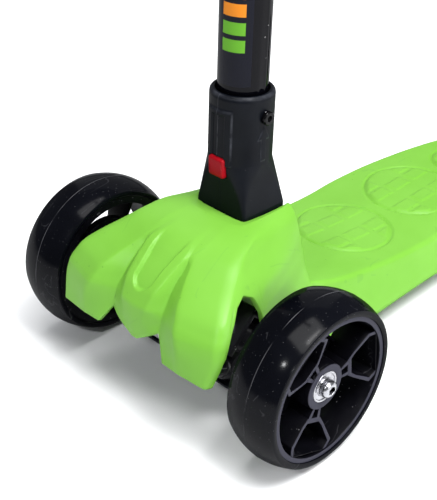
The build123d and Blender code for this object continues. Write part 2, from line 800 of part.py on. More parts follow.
def socket():
    """Plastic socket: foot, flared base and the sleeve round the tube."""
    base = Pos(0, flare_back, 0) * RectangleRounded(2 * flare_half, flare_depth, 4)
    neck = Pos(0, 0, sleeve_bottom) * RectangleRounded(2 * sleeve_radius, 2 * sleeve_radius, sleeve_radius - 0.3)
    body = loft([base, neck], ruled=True)
    body += rod_z(sleeve_radius, sleeve_bottom, sleeve_top)
    panel = rod_z(sleeve_radius + panel_rise, sleeve_bottom + 6, sleeve_top - 10)
    body += panel & block(-13, 13, -sleeve_radius - 2, 0, sleeve_bottom, sleeve_top)
    body = column_frame * body
    foot = side_slab(
        [(28, 104.5), (28, 134), (62, 131), (62, 122), (66, 112), (64, 106), (58, 103.4), (32, 103.4)],
        -foot_half, foot_half,
    )
    foot -= block(-60, 60, 50, 80, 60, 140) - rod_x(8.6, -60, 60, fold_y, fold_z) - block(
        -60, 60, 50, fold_y + 4, fold_z, 140)
    body += foot
    hollow = rod_z(tube_radius, tube_bottom, sleeve_top + 1)
    hollow += rod_z(tube_radius + 1.2, sleeve_top - 2, sleeve_top + 1)
    body -= column_frame * hollow
    body -= rod_x(fold_pin_radius + running_gap, -60, 60, fold_y, fold_z)
    body -= latch_space()
    return body


def latch_space():
    """Hollow in the socket for the latch, its spring and the button."""
    half = latch_half + side_gap
    space = block(-half, half, latch_y - 1, latch_y + latch_thickness + release_travel + 1, 100, button_z + 6)
    space += block(-half, half, 15, latch_y + 2, 100, tongue_z + tongue_thickness / 2 + 0.8)
    window = button_height / 2 + side_gap
    space += block(
        -button_half - side_gap, button_half + side_gap, 10, latch_y + 2,
        button_z - window, button_z + window,
    )
    space += Pos(0, latch_y + 10, button_z) * Rot(90, 0, 0) * Cylinder(4.2, 16)
    return space


def release_button():
    back = latch_y
    body = block(
        -button_half, button_half, button_face_y, button_face_y + button_depth,
        button_z - button_height / 2, button_z + button_height / 2,
    )
    body = fillet(body.edges().filter_by(Axis.Y), 2.2)
    body = fillet(body.faces().sort_by(Axis.Y)[0].edges(), 0.8)
    return body + block(-5, 5, button_face_y + 3, back, button_z - 5, button_z + 5)


def latch():
    """Steel plate behind the button, with the tongue that locks the column upright."""
    low = tongue_z - tongue_thickness / 2
    plate = block(-latch_half, latch_half, latch_y, latch_y + latch_thickness, low, button_z + 5)
    plate += block(-latch_half, latch_half, tongue_tip_y, latch_y + 1, low, low + tongue_thickness)
    return plate


def button_spring():
    y0 = latch_y + latch_thickness + side_gap
    return Pos(0, y0, button_z) * Rot(-90, 0, 0) * coil(2.8, 0.5, 14, 6)


def socket_screw():
    """Screw through socket and tube, with its head on the rider's left."""
    y = column_y + (screw_z - column_base) * tan_rake
    head_x = sleeve_radius + 0.4
    screw = rod_x(screw_radius, -sleeve_radius - 2.5, head_x, y, screw_z)
    head = rod_x(screw_head_radius, head_x, head_x + screw_head_height, y, screw_z)
    head = chamfer(head.edges().group_by(Axis.X)[-1], 0.6)
    recess = Plane(origin=(head_x + 1.0, y, screw_z), z_dir=(1, 0, 0)) * RegularPolygon(2.3, 6)
    return screw + (head - extrude(recess, amount=5))


def socket_nut():
    y = column_y + (screw_z - column_base) * tan_rake
    nut = Plane(origin=(-sleeve_radius - 0.4, y, screw_z), z_dir=(-1, 0, 0)) * RegularPolygon(4.6, 6)
    return extrude(nut, amount=3.5) - rod_x(screw_radius, -60, 0, y, screw_z)


def screw_hole(margin):
    y = column_y + (screw_z - column_base) * tan_rake
    return rod_x(screw_radius + margin, -sleeve_radius - 0.4, sleeve_radius + 0.4, y, screw_z)


def screw_seats():
    """Flat pads on the sleeve under the screw's head and nut."""
    y = column_y + (screw_z - column_base) * tan_rake
    return rod_x(6, -sleeve_radius - 0.4, sleeve_radius + 0.4, y, screw_z)


def lower_tube():
    tube = ring_z(tube_radius, tube_radius - tube_wall, tube_bottom, tube_top)
    return column_frame * tube - screw_hole(0)


def tube_bush():
    """Plastic sleeve in the mouth of the lower tube."""
    bore = inner_tube_radius + running_gap
    body = ring_z(tube_radius - tube_wall, bore, tube_top - bush_length, tube_top)
    body += ring_z(tube_radius, bore, tube_top, tube_top + 2)
    return column_frame * body


def clamp_collar():
    """Split collar with two ears behind the tube."""
    z0 = tube_top - collar_height
    z1 = tube_top
    body = rod_z(collar_radius, z0, z1)
    body += block(-12, 12, collar_radius - 4, collar_radius + collar_ear - 4, z0 + 6, z1 - 6)
    body -= rod_z(tube_radius, z0 - 1, z1 + 1)
    body -= block(-collar_slit / 2, collar_slit / 2, 0, 60, z0 - 1, z1 + 1)
    body -= block(-collar_slit / 2 - 4, collar_slit / 2 + 4, collar_radius + 0.5, 60, z0 - 1, z0 + 6)
    body -= Pos(0, clamp_bolt_y(), clamp_level()) * Rot(0, 90, 0) * Cylinder(clamp_bolt_radius, 60)
    return column_frame * body


def clamp_bolt_y():
    return collar_radius + collar_ear - 11


def clamp_level():
    return tube_top - collar_height / 2


def clamp_bolt():
    """Bolt through the ears, with a nut on the rider's right and an eye on the left."""
    place = Pos(0, clamp_bolt_y(), clamp_level())
    bolt = Pos(-0.5, 0, 0) * Rot(0, 90, 0) * Cylinder(clamp_bolt_radius, 33)
    bolt += Pos(-14.5, 0, 0) * Rot(0, 90, 0) * Cylinder(5.5, 5)
    eye = Pos(lever_pivot_x(), 0, 0) * Cylinder(4.2, 5)
    bolt += eye
    bolt -= Pos(lever_pivot_x(), 0, 0) * Cylinder(2.0, 20)
    return column_frame * (place * bolt)


def lever_pivot_x():
    return 18.0


def lever_pin():
    place = Pos(lever_pivot_x(), clamp_bolt_y(), clamp_level())
    return column_frame * (place * Cylinder(2.0, lever_width + 1))


def clamp_lever():
    """Cam lever that wraps forward round the collar when it is closed."""
    half = lever_width / 2
    cam = rod_z(5.6, -half, half)
    arm_x = collar_radius + 1 - lever_pivot_x() + lever_thickness / 2
    arm = Pos(arm_x - 1, -8, 0) * Box(lever_thickness + 2, 18, lever_width)
    tip_length = lever_length - 16
    tip = Pos(arm_x + 1.4, -16 - tip_length / 2, 0) * Rot(0, 0, 5) * Box(lever_thickness, tip_length, lever_width)
    body = cam + arm + tip
    body = body - block(-12, 4.6, -4.6, 12, -3.4, 3.4) - rod_z(4.8, -3.4, 3.4)
    body -= rod_z(2.0 + running_gap, -20, 20)
    place = Pos(lever_pivot_x(), clamp_bolt_y(), clamp_level())
    return column_frame * (place * body)


# Handlebar: slides in the lower tube

def inner_tube():
    top = bar_up - bar_radius - bar_wall
    tube = ring_z(inner_tube_radius, inner_tube_radius - inner_tube_wall, inner_tube_bottom, top)
    return column_frame * (tube - tee_screw_hole())


def slide_plug():
    """Plastic plug on the foot of the inner tube that centres it in the lower one."""
    outer = tube_radius - tube_wall - running_gap
    low = inner_tube_bottom - 3
    body = rod_z(outer, low, low + 3)
    body += rod_z(inner_tube_radius - inner_tube_wall, low, low + plug_length)
    return column_frame * (body - rod_z(6, low - 1, low + plug_length + 1))


def tee():
    """Moulded joint of the inner tube and the crossbar."""
    body = rod_z(tee_radius, bar_up - 42, bar_up - 4)
    body += Pos(0, 0, bar_up) * Rot(0, 90, 0) * Cylinder(bar_radius + 3.6, 2 * tee_half)
    body -= rod_z(inner_tube_radius, bar_up - 50, bar_up - bar_radius - bar_wall)
    body -= Pos(0, 0, bar_up) * Rot(0, 90, 0) * Cylinder(bar_radius, 100)
    return column_frame * (body - tee_screw_hole())


def tee_screw_hole():
    return Pos(0, inner_tube_radius, bar_up - 30) * Rot(90, 0, 0) * Cylinder(1.8, 12)


def tee_screw():
    """Screw that holds the tee on the inner tube, from behind."""
    place = Pos(0, inner_tube_radius - 3, bar_up - 30) * Rot(-90, 0, 0)
    reach = tee_radius - inner_tube_radius + 3
    body = rod_z(1.8, 0, reach) + rod_z(3.6, reach, reach + 2)
    return column_frame * (place * body)


def crossbar():
    bar = Cylinder(bar_radius, 2 * bar_half) - Cylinder(bar_radius - bar_wall, 2 * bar_half + 2)
    return column_frame * (Pos(0, 0, bar_up) * Rot(0, 90, 0) * bar)


def grip():
    """Left grip: soft sleeve with a flange at its inner end and a closed outer end."""
    end = bar_half + grip_end
    start = end - grip_length
    body = rod_z(grip_radius, start, end) + rod_z(grip_flange, start, start + 4)
    body = fillet(body.edges().group_by(Axis.Z)[-1], 3)
    body -= rod_z(bar_radius, start - 1, bar_half)
    return column_frame * (Pos(0, 0, bar_up) * Rot(0, 90, 0) * body)


def save_all():
    os.makedirs("parts", exist_ok=True)
    save("deck", deck())
    save("steering_bracket", steering_bracket())
    save("bracket_screws", *bracket_screws())
    save("kingpins", kingpin(kingpin_x), kingpin(-kingpin_x))
    save("kingpin_nuts", kingpin_nut(kingpin_x), kingpin_nut(-kingpin_x))
    save("belly_cover", belly_cover())
    save("cover_screws", *cover_screws())
    save("steering_link", steering_link())
    save("centring_springs", *centring_springs())
    left = {
        "knuckle": [knuckle()],
        "link_pin": [link_pin()],
        "axle_bolt": [axle_bolt()],
        "axle_sleeve": [axle_sleeve()],
        "front_tyre": [tyre(
            front_wheel_radius, front_tyre_width, front_rim_radius, front_crown_drop, wheel_x, 0, axle_z)],
        "front_rim": [front_rim()],
        "front_bearings": [bearing(hub_inner_x, 0, axle_z), bearing(hub_outer_x - bearing_width, 0, axle_z)],
        "grip": [grip()],
    }
    for name, pieces in left.items():
        save(f"left_{name}", *pieces)
        save(f"right_{name}", *[mirrored(piece) for piece in pieces])
    for name, x in (("left", rear_wheel_x()), ("right", -rear_wheel_x())):
        save(f"{name}_rear_tyre", tyre(
            rear_wheel_radius, rear_tyre_width, rear_rim_radius, 3.2, x, rear_axle_y, rear_axle_z))
        save(f"{name}_rear_rim", rear_rim(x))
        save(f"{name}_rear_bearings", *rear_bearings(x))
    save("rear_axle_bolt", rear_axle_bolt())
    save("rear_axle_nut", rear_axle_nut())
    save("rear_axle_spacers", *rear_axle_spacers())
    save("rear_brake", rear_brake())
    save("brake_pad", brake_pad())
    save("brake_pin", brake_pin())
    save("brake_spring", brake_spring())
    save("fold_bracket", fold_bracket())
    save("fold_screws", *fold_screws())
    save("fold_pin", fold_pin())
    save("socket", socket() + screw_seats() - screw_hole(0) - column_frame * rod_z(
        tube_radius, tube_bottom, sleeve_top + 1))
    save("release_button", release_button())
    save("latch", latch())
    save("button_spring", button_spring())
    save("socket_screw", socket_screw())
    save("socket_nut", socket_nut())
    save("lower_tube", lower_tube())
    save("tube_bush", tube_bush())
    save("clamp_collar", clamp_collar())
    save("clamp_bolt", clamp_bolt())
    save("lever_pin", lever_pin())
    save("clamp_lever", clamp_lever())
    save("inner_tube", inner_tube())
    save("slide_plug", slide_plug())
    save("tee", tee())
    save("tee_screw", tee_screw())
    save("crossbar", crossbar())


save_all()
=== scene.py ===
import json
import math

import bmesh
import bpy
from mathutils import Matrix, Vector


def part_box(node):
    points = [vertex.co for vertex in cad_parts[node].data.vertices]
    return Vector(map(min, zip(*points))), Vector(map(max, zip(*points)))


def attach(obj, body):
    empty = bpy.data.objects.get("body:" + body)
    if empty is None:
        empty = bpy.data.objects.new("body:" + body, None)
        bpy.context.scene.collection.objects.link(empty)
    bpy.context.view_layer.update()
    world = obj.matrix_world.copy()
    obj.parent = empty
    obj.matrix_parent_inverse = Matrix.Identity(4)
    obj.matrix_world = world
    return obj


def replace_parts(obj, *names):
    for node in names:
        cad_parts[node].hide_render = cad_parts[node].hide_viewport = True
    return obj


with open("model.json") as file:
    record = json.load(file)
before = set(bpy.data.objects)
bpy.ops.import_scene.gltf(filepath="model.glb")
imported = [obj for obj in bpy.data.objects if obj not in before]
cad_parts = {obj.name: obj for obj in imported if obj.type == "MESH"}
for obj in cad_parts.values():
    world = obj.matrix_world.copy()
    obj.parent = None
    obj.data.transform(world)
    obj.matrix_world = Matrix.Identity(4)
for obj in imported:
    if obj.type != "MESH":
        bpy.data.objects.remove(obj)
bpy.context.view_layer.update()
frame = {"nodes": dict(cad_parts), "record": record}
nodes = frame["nodes"]
scene = bpy.context.scene

# Camera: three-quarter view from above, on the rider's front left, close on the front wheels
# and the nose. It is rolled by about a degree.

azimuth, elevation, roll = math.radians(46.12), math.radians(33.84), math.radians(-1.21)
camera_target = Vector((-0.00335, -0.16927, 0.09487))
camera_distance = 0.72705

camera_data = bpy.data.cameras.new("camera")
camera_data.lens = 75.6
camera_data.sensor_width = 36
camera = bpy.data.objects.new("camera", camera_data)
scene.collection.objects.link(camera)
back = Vector((
    math.sin(azimuth) * math.cos(elevation),
    -math.cos(azimuth) * math.cos(elevation),
    math.sin(elevation),
))
flat_right = Vector((0, 0, 1)).cross(back).normalized()
flat_up = back.cross(flat_right)
right = flat_right * math.cos(roll) + flat_up * math.sin(roll)
up = flat_up * math.cos(roll) - flat_right * math.sin(roll)
turn = Matrix((right, up, back)).transposed().to_4x4()
camera.matrix_world = Matrix.Translation(camera_target + back * camera_distance) @ turn
scene.camera = camera

# Floor and light: a white paper floor under a soft key lamp and a wide lamp, both from above, with
# a small lamp in front, one at the side, a wide one behind and a pale world that fills the shadows.

floor_mesh = bpy.data.meshes.new("floor")
shaping = bmesh.new()
bmesh.ops.create_grid(shaping, x_segments=1, y_segments=1, size=6)
shaping.to_mesh(floor_mesh)
shaping.free()
floor = bpy.data.objects.new("floor", floor_mesh)
scene.collection.objects.link(floor)


def new_material(name):
    """A node material with its shader and its object coordinates."""
    material = bpy.data.materials.new(name)
    material.use_nodes = True
    shader = material.node_tree.nodes["Principled BSDF"]
    where = material.node_tree.nodes.new("ShaderNodeTexCoord").outputs["Object"]
    return material, material.node_tree, shader, where


paper, paper_tree, paper_shader, paper_where = new_material("floor_paper")
paper_fibre = paper_tree.nodes.new("ShaderNodeTexNoise")
paper_fibre.inputs["Scale"].default_value = 900
paper_tree.links.new(paper_where, paper_fibre.inputs["Vector"])
paper_bump = paper_tree.nodes.new("ShaderNodeBump")
paper_bump.inputs["Distance"].default_value = 0.00005
paper_tree.links.new(paper_fibre.outputs["Fac"], paper_bump.inputs["Height"])
paper_tree.links.new(paper_bump.outputs["Normal"], paper_shader.inputs["Normal"])
paper_shader.inputs["Base Color"].default_value = (0.92, 0.925, 0.935, 1)
paper_shader.inputs["Roughness"].default_value = 0.85
paper_shader.inputs["Specular IOR Level"].default_value = 0.2
floor_mesh.materials.append(paper)

world = bpy.data.worlds.new("studio")
world.use_nodes = True
world.node_tree.nodes["Background"].inputs["Color"].default_value = (0.96, 0.98, 1, 1)
world.node_tree.nodes["Background"].inputs["Strength"].default_value = 0.22
scene.world = world
scene.view_settings.view_transform = "Standard"


def add_lamp(name, place, aim, size, power, colour=(1, 1, 1)):
    lamp_data = bpy.data.lights.new(name, "AREA")
    lamp_data.shape = "RECTANGLE"
    lamp_data.size, lamp_data.size_y = size
    lamp_data.energy = power
    lamp_data.color = colour
    lamp = bpy.data.objects.new(name, lamp_data)
    scene.collection.objects.link(lamp)
    lamp.location = place
    lamp.rotation_euler = (Vector(aim) - Vector(place)).to_track_quat("-Z", "Y").to_euler()


add_lamp("key", (0.9, -0.1, 1.8), (0, -0.15, 0.1), (0.8, 0.8), 38)
add_lamp("top", (0.35, -0.2, 2.0), (0, -0.15, 0), (1.4, 1.4), 42)
add_lamp("front", (0.35, -1.6, 1.5), (0, -0.15, 0.1), (0.12, 0.12), 9, (0.97, 0.99, 1))
add_lamp("side", (1.8, 0.1, 0.75), (0, -0.1, 0.15), (0.6, 0.9), 17)
add_lamp("backdrop", (-1.5, 1.4, 1.2), (0, 0, 0), (2.2, 2.2), 9, (0.95, 0.97, 1))

# Bonnet: injection-moulded nose over the steering gear, green polypropylene about 3.5 mm thick.
# It ends ahead in three claws, arches over each wheel and is part of the same moulding as the
# platform.

axle = (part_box("left_front_tyre")[0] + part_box("left_front_tyre")[1]) / 2
bonnet_wall = 0.0035
opening_half = 23.2
rear_wall_y = 66.0
# Each level: height, then rear corner, side, outer ridge, crease of the outer claw, valley,
# crest of the middle claw and middle, as millimetres across and behind the front axle.
bonnet_levels = [
    (112.0, (22.9, 66), (22.9, 40), (22.6, 30), (20.5, 25.6), (15, 24.2), (8, 24), (0, 24)),
    (129.6, (22.9, 66), (22.9, 40), (22.6, 30), (20.5, 25.6), (15, 24.2), (8, 24), (0, 24)),
    (131.0, (25.5, 66), (27, 31), (26, 19), (18, 15), (14, 15), (10, 15), (0, 14)),
    (128.3, (28.4, 66), (35.5, 28), (41, 11), (22, -5), (16, -6), (12, -9), (0, -10)),
    (124.0, (31.8, 66), (40, 28), (49, -7), (22.8, -19), (19, -20), (16.7, -22.5), (0, -25)),
    (118.0, (34.2, 66), (44, 28), (56.5, -19), (26.2, -29.5), (20.4, -26), (16.9, -32.3), (0, -34.5)),
    (112.0, (36, 66), (48.5, 28), (65, -31), (31.5, -40.3), (20.6, -33.4), (15.5, -40.8), (0, -42)),
    (105.0, (37.6, 66), (53, 28), (73, -41.5), (36.6, -50), (21.2, -40.8), (13.8, -48.8), (0, -49)),
    (98.0, (39.2, 66), (55, 28), (77, -46.6), (40, -55.6), (22, -46.4), (12.2, -53.2), (0, -53.6)),
    (94.0, (40.3, 66), (56.2, 28), (78.6, -49.1), (41.5, -58.2), (22.4, -49.4), (11.4, -55.4), (0, -56)),
    (90.0, (41.4, 66), (56.8, 28), (79.3, -50.7), (43, -59.8), (22.5, -51.2), (10.4, -56), (0, -57)),
    (82.0, (44, 66), (57.5, 28), (79.8, -53), (45.6, -61.2), (22.6, -53.5), (8.6, -56.6), (0, -57.6)),
    (66.0, (52, 66), (58.5, 28), (75.5, -59.5), (47, -61.5), (31.9, -61), (5, -56.4), (0, -57)),
]
# How much of the run to each neighbour a corner's rounding takes.
bonnet_softness = (0.12, 0.3, 0.26, 0.1, 0.06, 0.16, 0.4)


def place(x, y, z):
    """Millimetres from the floor under the front axle, as a place in the frame."""
    return Vector((x / 1000, axle.y + y / 1000, z / 1000))


def smooth_step(low, high, value):
    share = min(1, max(0, (value - low) / (high - low)))
    return share * share * (3 - 2 * share)


def between_levels(levels, level):
    """Catmull-Rom curve through one value of each level."""
    index = min(int(level), len(levels) - 2)
    share = level - index
    before = levels[max(index - 1, 0)]
    first, second = levels[index], levels[index + 1]
    after = levels[min(index + 2, len(levels) - 1)]
    return (
        first
        + 0.5 * share * (second - before)
        + share * share * (before - 2.5 * first + 2 * second - 0.5 * after)
        + share ** 3 * (1.5 * (first - second) + 0.5 * (after - before))
    )


def bonnet_corner(point, level):
    """One of a level's seven points, between the levels."""
    if level < 2:
        index = int(level)
        share = level - index
        first, second = bonnet_levels[index][point + 1], bonnet_levels[index + 1][point + 1]
        return Vector(first).lerp(Vector(second), share)
    x = between_levels([row[point + 1][0] for row in bonnet_levels[2:]], level - 2)
    y = between_levels([row[point + 1][1] for row in bonnet_levels[2:]], level - 2)
    return Vector((x, y))


def bonnet_height(level):
    if level < 2:
        first, second = bonnet_levels[int(level)][0], bonnet_levels[int(level) + 1][0]
        return first + (second - first) * (level - int(level))
    return between_levels([row[0] for row in bonnet_levels[2:]], level - 2)


def bonnet_point(run, level):
    """Place on the bonnet: run goes from the rear slot, 0, round to the middle of the front, 7."""
    corners = [Vector((opening_half - 0.3, rear_wall_y))]
    corners += [bonnet_corner(point, level) for point in range(7)]
    index = min(int(run), 6)
    share = run - index
    first, second = corners[index], corners[index + 1]
    here = first.lerp(second, share)
    start = bonnet_softness[index - 1] if index > 0 else 0
    end = bonnet_softness[index]
    if index > 0 and share < start:
        before = corners[index - 1]
        a, b = first.lerp(before, start), first.lerp(second, start)
        t = 0.5 + share / start / 2
        here = a * (1 - t) ** 2 + first * 2 * t * (1 - t) + b * t * t
    elif share > 1 - end:
        after = corners[index + 2] if index < 6 else Vector((-first.x, first.y))
        a, b = second.lerp(first, end), second.lerp(after, end)
        t = (share - 1 + end) / end / 2
        here = a * (1 - t) ** 2 + second * 2 * t * (1 - t) + b * t * t
    height = bonnet_height(level)
    if run < 1:
        # The rear wall's upper edge follows the lip of the opening.
        height = min(height, 129.6 + 0.54 * (here.x - opening_half + 0.3))
    if height > 104:
        height -= 3.6 * smooth_step(8, 64, here.y) * (height - 104) / 27
    return Vector((here.x, here.y, height))


def under_bonnet(spot):
    """Whether a place is below the claws' lower edge or inside the wheel arch."""
    x, y, z = spot
    if y < -40 and x < 31.9:
        if x < 3:
            edge = 67.5
        elif x < 22.6:
            edge = 67.5 + (x - 3) / 19.6 * 13.5
        else:
            edge = 81 - (x - 22.6) / 9.3 * 15
        return z < edge
    if y < -48 and x < 79:
        return z < 66 + 0.9 * max(0, (x - 66) / 8) ** 2
    front_edge = ((-53, 66), (-50, 79), (-44, 91), (-36, 101), (-26, 108.5), (-16, 111), (-8, 106),
                  (-3, 92), (-1, 82), (14, 76), (58, 66), (70, 66))
    for (y0, z0), (y1, z1) in zip(front_edge, front_edge[1:]):
        if y0 <= y <= y1:
            return x > 40 and z < z0 + (z1 - z0) * (y - y0) / (y1 - y0)
    return z < 66


def bonnet_foot(run):
    """The level at which the bonnet ends for this run."""
    last = len(bonnet_levels) - 1.0
    level = 2.2
    while level < last and not under_bonnet(bonnet_point(run, level)):
        level += 0.12
    if level >= last:
        return last
    low, high = level - 0.12, level
    for halving in range(12):
        middle = (low + high) / 2
        if under_bonnet(bonnet_point(run, middle)):
            high = middle
        else:
            low = middle
    return high


def groove_depth(x, y):
    """Depth of the long hollow, round at its front end, that runs up the middle claw."""
    half = 8.6 + 3.4 * smooth_step(-46, -16, y)
    front = -50.5 + 5 * (min(abs(x), 8.6) / 8.6) ** 2.6
    inside = min(half - abs(x), y - front)
    return 2.3 * smooth_step(-0.6, 1.3, inside) * (1 - smooth_step(-32, -10, y))


bonnet = bmesh.new()
runs, rows = 190, 96
bmesh.ops.create_grid(bonnet, x_segments=runs, y_segments=rows, size=1)
feet = {}
placed = {}
for vertex in bonnet.verts:
    column = round((vertex.co.x + 1) / 2 * runs)
    row = round((vertex.co.y + 1) / 2 * rows)
    run = 7 * column / runs
    if column not in feet:
        feet[column] = bonnet_foot(run)
    share = row / rows
    level = share / 0.12 * 2 if share < 0.12 else 2 + (share - 0.12) / 0.88 * (feet[column] - 2)
    spot = bonnet_point(run, level)
    if level > 2:
        sink = groove_depth(spot.x, spot.y)
        spot += Vector((0, 0.62, -0.78)) * sink
    placed[vertex] = place(*spot)
for vertex, spot in placed.items():
    vertex.co = spot
half_bonnet = bonnet.verts[:] + bonnet.edges[:] + bonnet.faces[:]
bmesh.ops.mirror(bonnet, geom=half_bonnet, axis="X", merge_dist=0.00002)
bmesh.ops.remove_doubles(bonnet, verts=bonnet.verts, dist=0.00002)
bmesh.ops.dissolve_degenerate(bonnet, edges=bonnet.edges, dist=0.00002)
bmesh.ops.recalc_face_normals(bonnet, faces=bonnet.faces)


def add_piece(name, shaping, body, finish, sharp=180):
    """Turns a finished bmesh into a piece that rides on a body."""
    mesh = bpy.data.meshes.new(name)
    shaping.to_mesh(mesh)
    shaping.free()
    mesh.shade_smooth()
    if sharp < 180:
        mesh.set_sharp_from_angle(angle=math.radians(sharp))
    mesh.materials.append(finish)
    piece = bpy.data.objects.new(name, mesh)
    scene.collection.objects.link(piece)
    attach(piece, body)
    return piece


def new_group(name, inputs, output, kind="NodeSocketFloat"):
    """An empty node group with its named inputs and one output."""
    group = bpy.data.node_groups.new(name, "ShaderNodeTree")
    group.interface.new_socket("Vector", in_out="INPUT", socket_type="NodeSocketVector")
    for socket, value in inputs:
        made = group.interface.new_socket(socket, in_out="INPUT", socket_type="NodeSocketFloat")
        made.default_value = value
    group.interface.new_socket(output, in_out="OUTPUT", socket_type=kind)
    return group, group.nodes.new("NodeGroupInput"), group.nodes.new("NodeGroupOutput")


def maths(tree, operation, *values):
    """A Math node whose inputs are sockets or numbers."""
    node = tree.nodes.new("ShaderNodeMath")
    node.operation = operation
    for index, value in enumerate(values):
        if isinstance(value, (int, float)):
            node.inputs[index].default_value = value
        else:
            tree.links.new(value, node.inputs[index])
    return node.outputs[0]


# Unevenness of a moulded or painted surface, in soft patches.
patches, given, result = new_group("soft_patches", (("Scale", 20), ("Contrast", 1)), "Mask")
patch_noise = patches.nodes.new("ShaderNodeTexNoise")
patch_noise.inputs["Detail"].default_value = 4
patches.links.new(given.outputs["Vector"], patch_noise.inputs["Vector"])
patches.links.new(given.outputs["Scale"], patch_noise.inputs["Scale"])
centred = maths(patches, "SUBTRACT", patch_noise.outputs["Fac"], 0.5)
stretched = maths(patches, "MULTIPLY", centred, given.outputs["Contrast"])
lifted = maths(patches, "ADD", stretched, 0.5)
patches.links.new(maths(patches, "MINIMUM", maths(patches, "MAXIMUM", lifted, 0), 1), result.inputs["Mask"])

# Specks of dust and grit, and on the tyres partly painted glints of light: small round dots, only in some of
# the cells.
specks, given, result = new_group("dust_and_glint_specks", (("Scale", 400), ("Share", 0.1)), "Mask")
cells = specks.nodes.new("ShaderNodeTexVoronoi")
specks.links.new(given.outputs["Vector"], cells.inputs["Vector"])
specks.links.new(given.outputs["Scale"], cells.inputs["Scale"])
split = specks.nodes.new("ShaderNodeSeparateColor")
specks.links.new(cells.outputs["Color"], split.inputs["Color"])
chosen = maths(specks, "LESS_THAN", split.outputs["Red"], given.outputs["Share"])
reach = maths(specks, "MULTIPLY", split.outputs["Green"], 0.32)
dotted = maths(specks, "LESS_THAN", cells.outputs["Distance"], reach)
specks.links.new(maths(specks, "MULTIPLY", chosen, dotted), result.inputs["Mask"])

# Rubbed streaks from handling: long thin marks where the noise is near its middle.
streaks, given, result = new_group("rubbed_streaks", (("Scale", 60), ("Width", 0.02)), "Mask")
drawn_out = streaks.nodes.new("ShaderNodeVectorMath")
drawn_out.operation = "MULTIPLY"
drawn_out.inputs[1].default_value = (1, 0.25, 0.6)
streaks.links.new(given.outputs["Vector"], drawn_out.inputs[0])
streak_noise = streaks.nodes.new("ShaderNodeTexNoise")
streak_noise.inputs["Detail"].default_value = 2
streaks.links.new(drawn_out.outputs[0], streak_noise.inputs["Vector"])
streaks.links.new(given.outputs["Scale"], streak_noise.inputs["Scale"])
off_middle = maths(streaks, "ABSOLUTE", maths(streaks, "SUBTRACT", streak_noise.outputs["Fac"], 0.5))
near_middle = maths(streaks, "SUBTRACT", 1, maths(streaks, "DIVIDE", off_middle, given.outputs["Width"]))
broken_noise = streaks.nodes.new("ShaderNodeTexNoise")
broken_noise.inputs["Scale"].default_value = 45
streaks.links.new(given.outputs["Vector"], broken_noise.inputs["Vector"])
broken = maths(streaks, "GREATER_THAN", broken_noise.outputs["Fac"], 0.58)
streaks.links.new(
    maths(streaks, "MULTIPLY", maths(streaks, "MAXIMUM", near_middle, 0), broken), result.inputs["Mask"]
)

# Fine relief of a mould's or a blasted surface.
relief, given, result = new_group("fine_relief", (("Scale", 900),), "Height")
relief_noise = relief.nodes.new("ShaderNodeTexNoise")
relief_noise.inputs["Detail"].default_value = 3
relief.links.new(given.outputs["Vector"], relief_noise.inputs["Vector"])
relief.links.new(given.outputs["Scale"], relief_noise.inputs["Scale"])
relief.links.new(relief_noise.outputs["Fac"], result.inputs["Height"])


def use_group(tree, group, where, **values):
    node = tree.nodes.new("ShaderNodeGroup")
    node.node_tree = group
    tree.links.new(where, node.inputs["Vector"])
    for socket, value in values.items():
        node.inputs[socket].default_value = value
    return node.outputs[0]


def mix_colour(tree, mask, first, second):
    """Mixes two colours, each a socket or three numbers, by a mask."""
    node = tree.nodes.new("ShaderNodeMix")
    node.data_type = "RGBA"
    tree.links.new(mask, node.inputs["Factor"])
    for socket, value in (("A", first), ("B", second)):
        place_in = [given for given in node.inputs if given.name == socket and given.type == "RGBA"][0]
        if isinstance(value, tuple):
            place_in.default_value = (*value, 1)
        else:
            tree.links.new(value, place_in)
    return [made for made in node.outputs if made.type == "RGBA"][0]


def make_finish(
    name, colour, patch_colour, roughness, patch=(25, 2), dust_and_glint=(500, 0.06), dust_and_glint_colour=(0.4, 0.4, 0.42),
    streak=(70, 0.012), streak_colour=(0.3, 0.3, 0.32), grain=(1400, 0.00002), metallic=0.0, gloss=0.5,
):
    """A worn surface: uneven colour, specks of dust (on the tyres partly painted glints), streaks and a fine
    relief, with uneven roughness.
    """
    material, tree, shader, where = new_material(name)
    uneven = use_group(tree, patches, where, Scale=patch[0], Contrast=patch[1])
    body = mix_colour(tree, uneven, colour, patch_colour)
    marks = use_group(tree, streaks, where, Scale=streak[0], Width=streak[1])
    marked = mix_colour(tree, maths(tree, "MULTIPLY", marks, 0.35), body, streak_colour)
    dots = use_group(tree, specks, where, Scale=dust_and_glint[0], Share=dust_and_glint[1])
    dust_and_glint_coloured = mix_colour(tree, maths(tree, "MULTIPLY", dots, 0.5), marked, dust_and_glint_colour)
    tree.links.new(dust_and_glint_coloured, shader.inputs["Base Color"])
    rough = maths(tree, "ADD", roughness - 0.05, maths(tree, "MULTIPLY", uneven, 0.1))
    rough = maths(tree, "ADD", rough, maths(tree, "MULTIPLY", marks, 0.15))
    tree.links.new(rough, shader.inputs["Roughness"])
    bump = tree.nodes.new("ShaderNodeBump")
    bump.inputs["Distance"].default_value = grain[1]
    height = use_group(tree, relief, where, Scale=grain[0])
    tree.links.new(maths(tree, "ADD", height, maths(tree, "MULTIPLY", dots, 2)), bump.inputs["Height"])
    tree.links.new(bump.outputs["Normal"], shader.inputs["Normal"])
    shader.inputs["Metallic"].default_value = metallic
    if metallic < 0.5:
        shader.inputs["Specular IOR Level"].default_value = 0
        shader.inputs["Coat Weight"].default_value = gloss
        shader.inputs["Coat Roughness"].default_value = roughness * 0.7
    return material


green_moulding = make_finish(
    "green_moulding", (0.152, 0.375, 0.046), (0.128, 0.335, 0.032), 0.5, patch=(14, 2.5),
    dust_and_glint=(420, 0.02), dust_and_glint_colour=(0.08, 0.22, 0.03), streak=(38, 0.01), streak_colour=(0.09, 0.26, 0.04),
    grain=(900, 0.00004), gloss=0.36,
)
bonnet_piece = add_piece("bonnet", bonnet, "deck", green_moulding, 60)
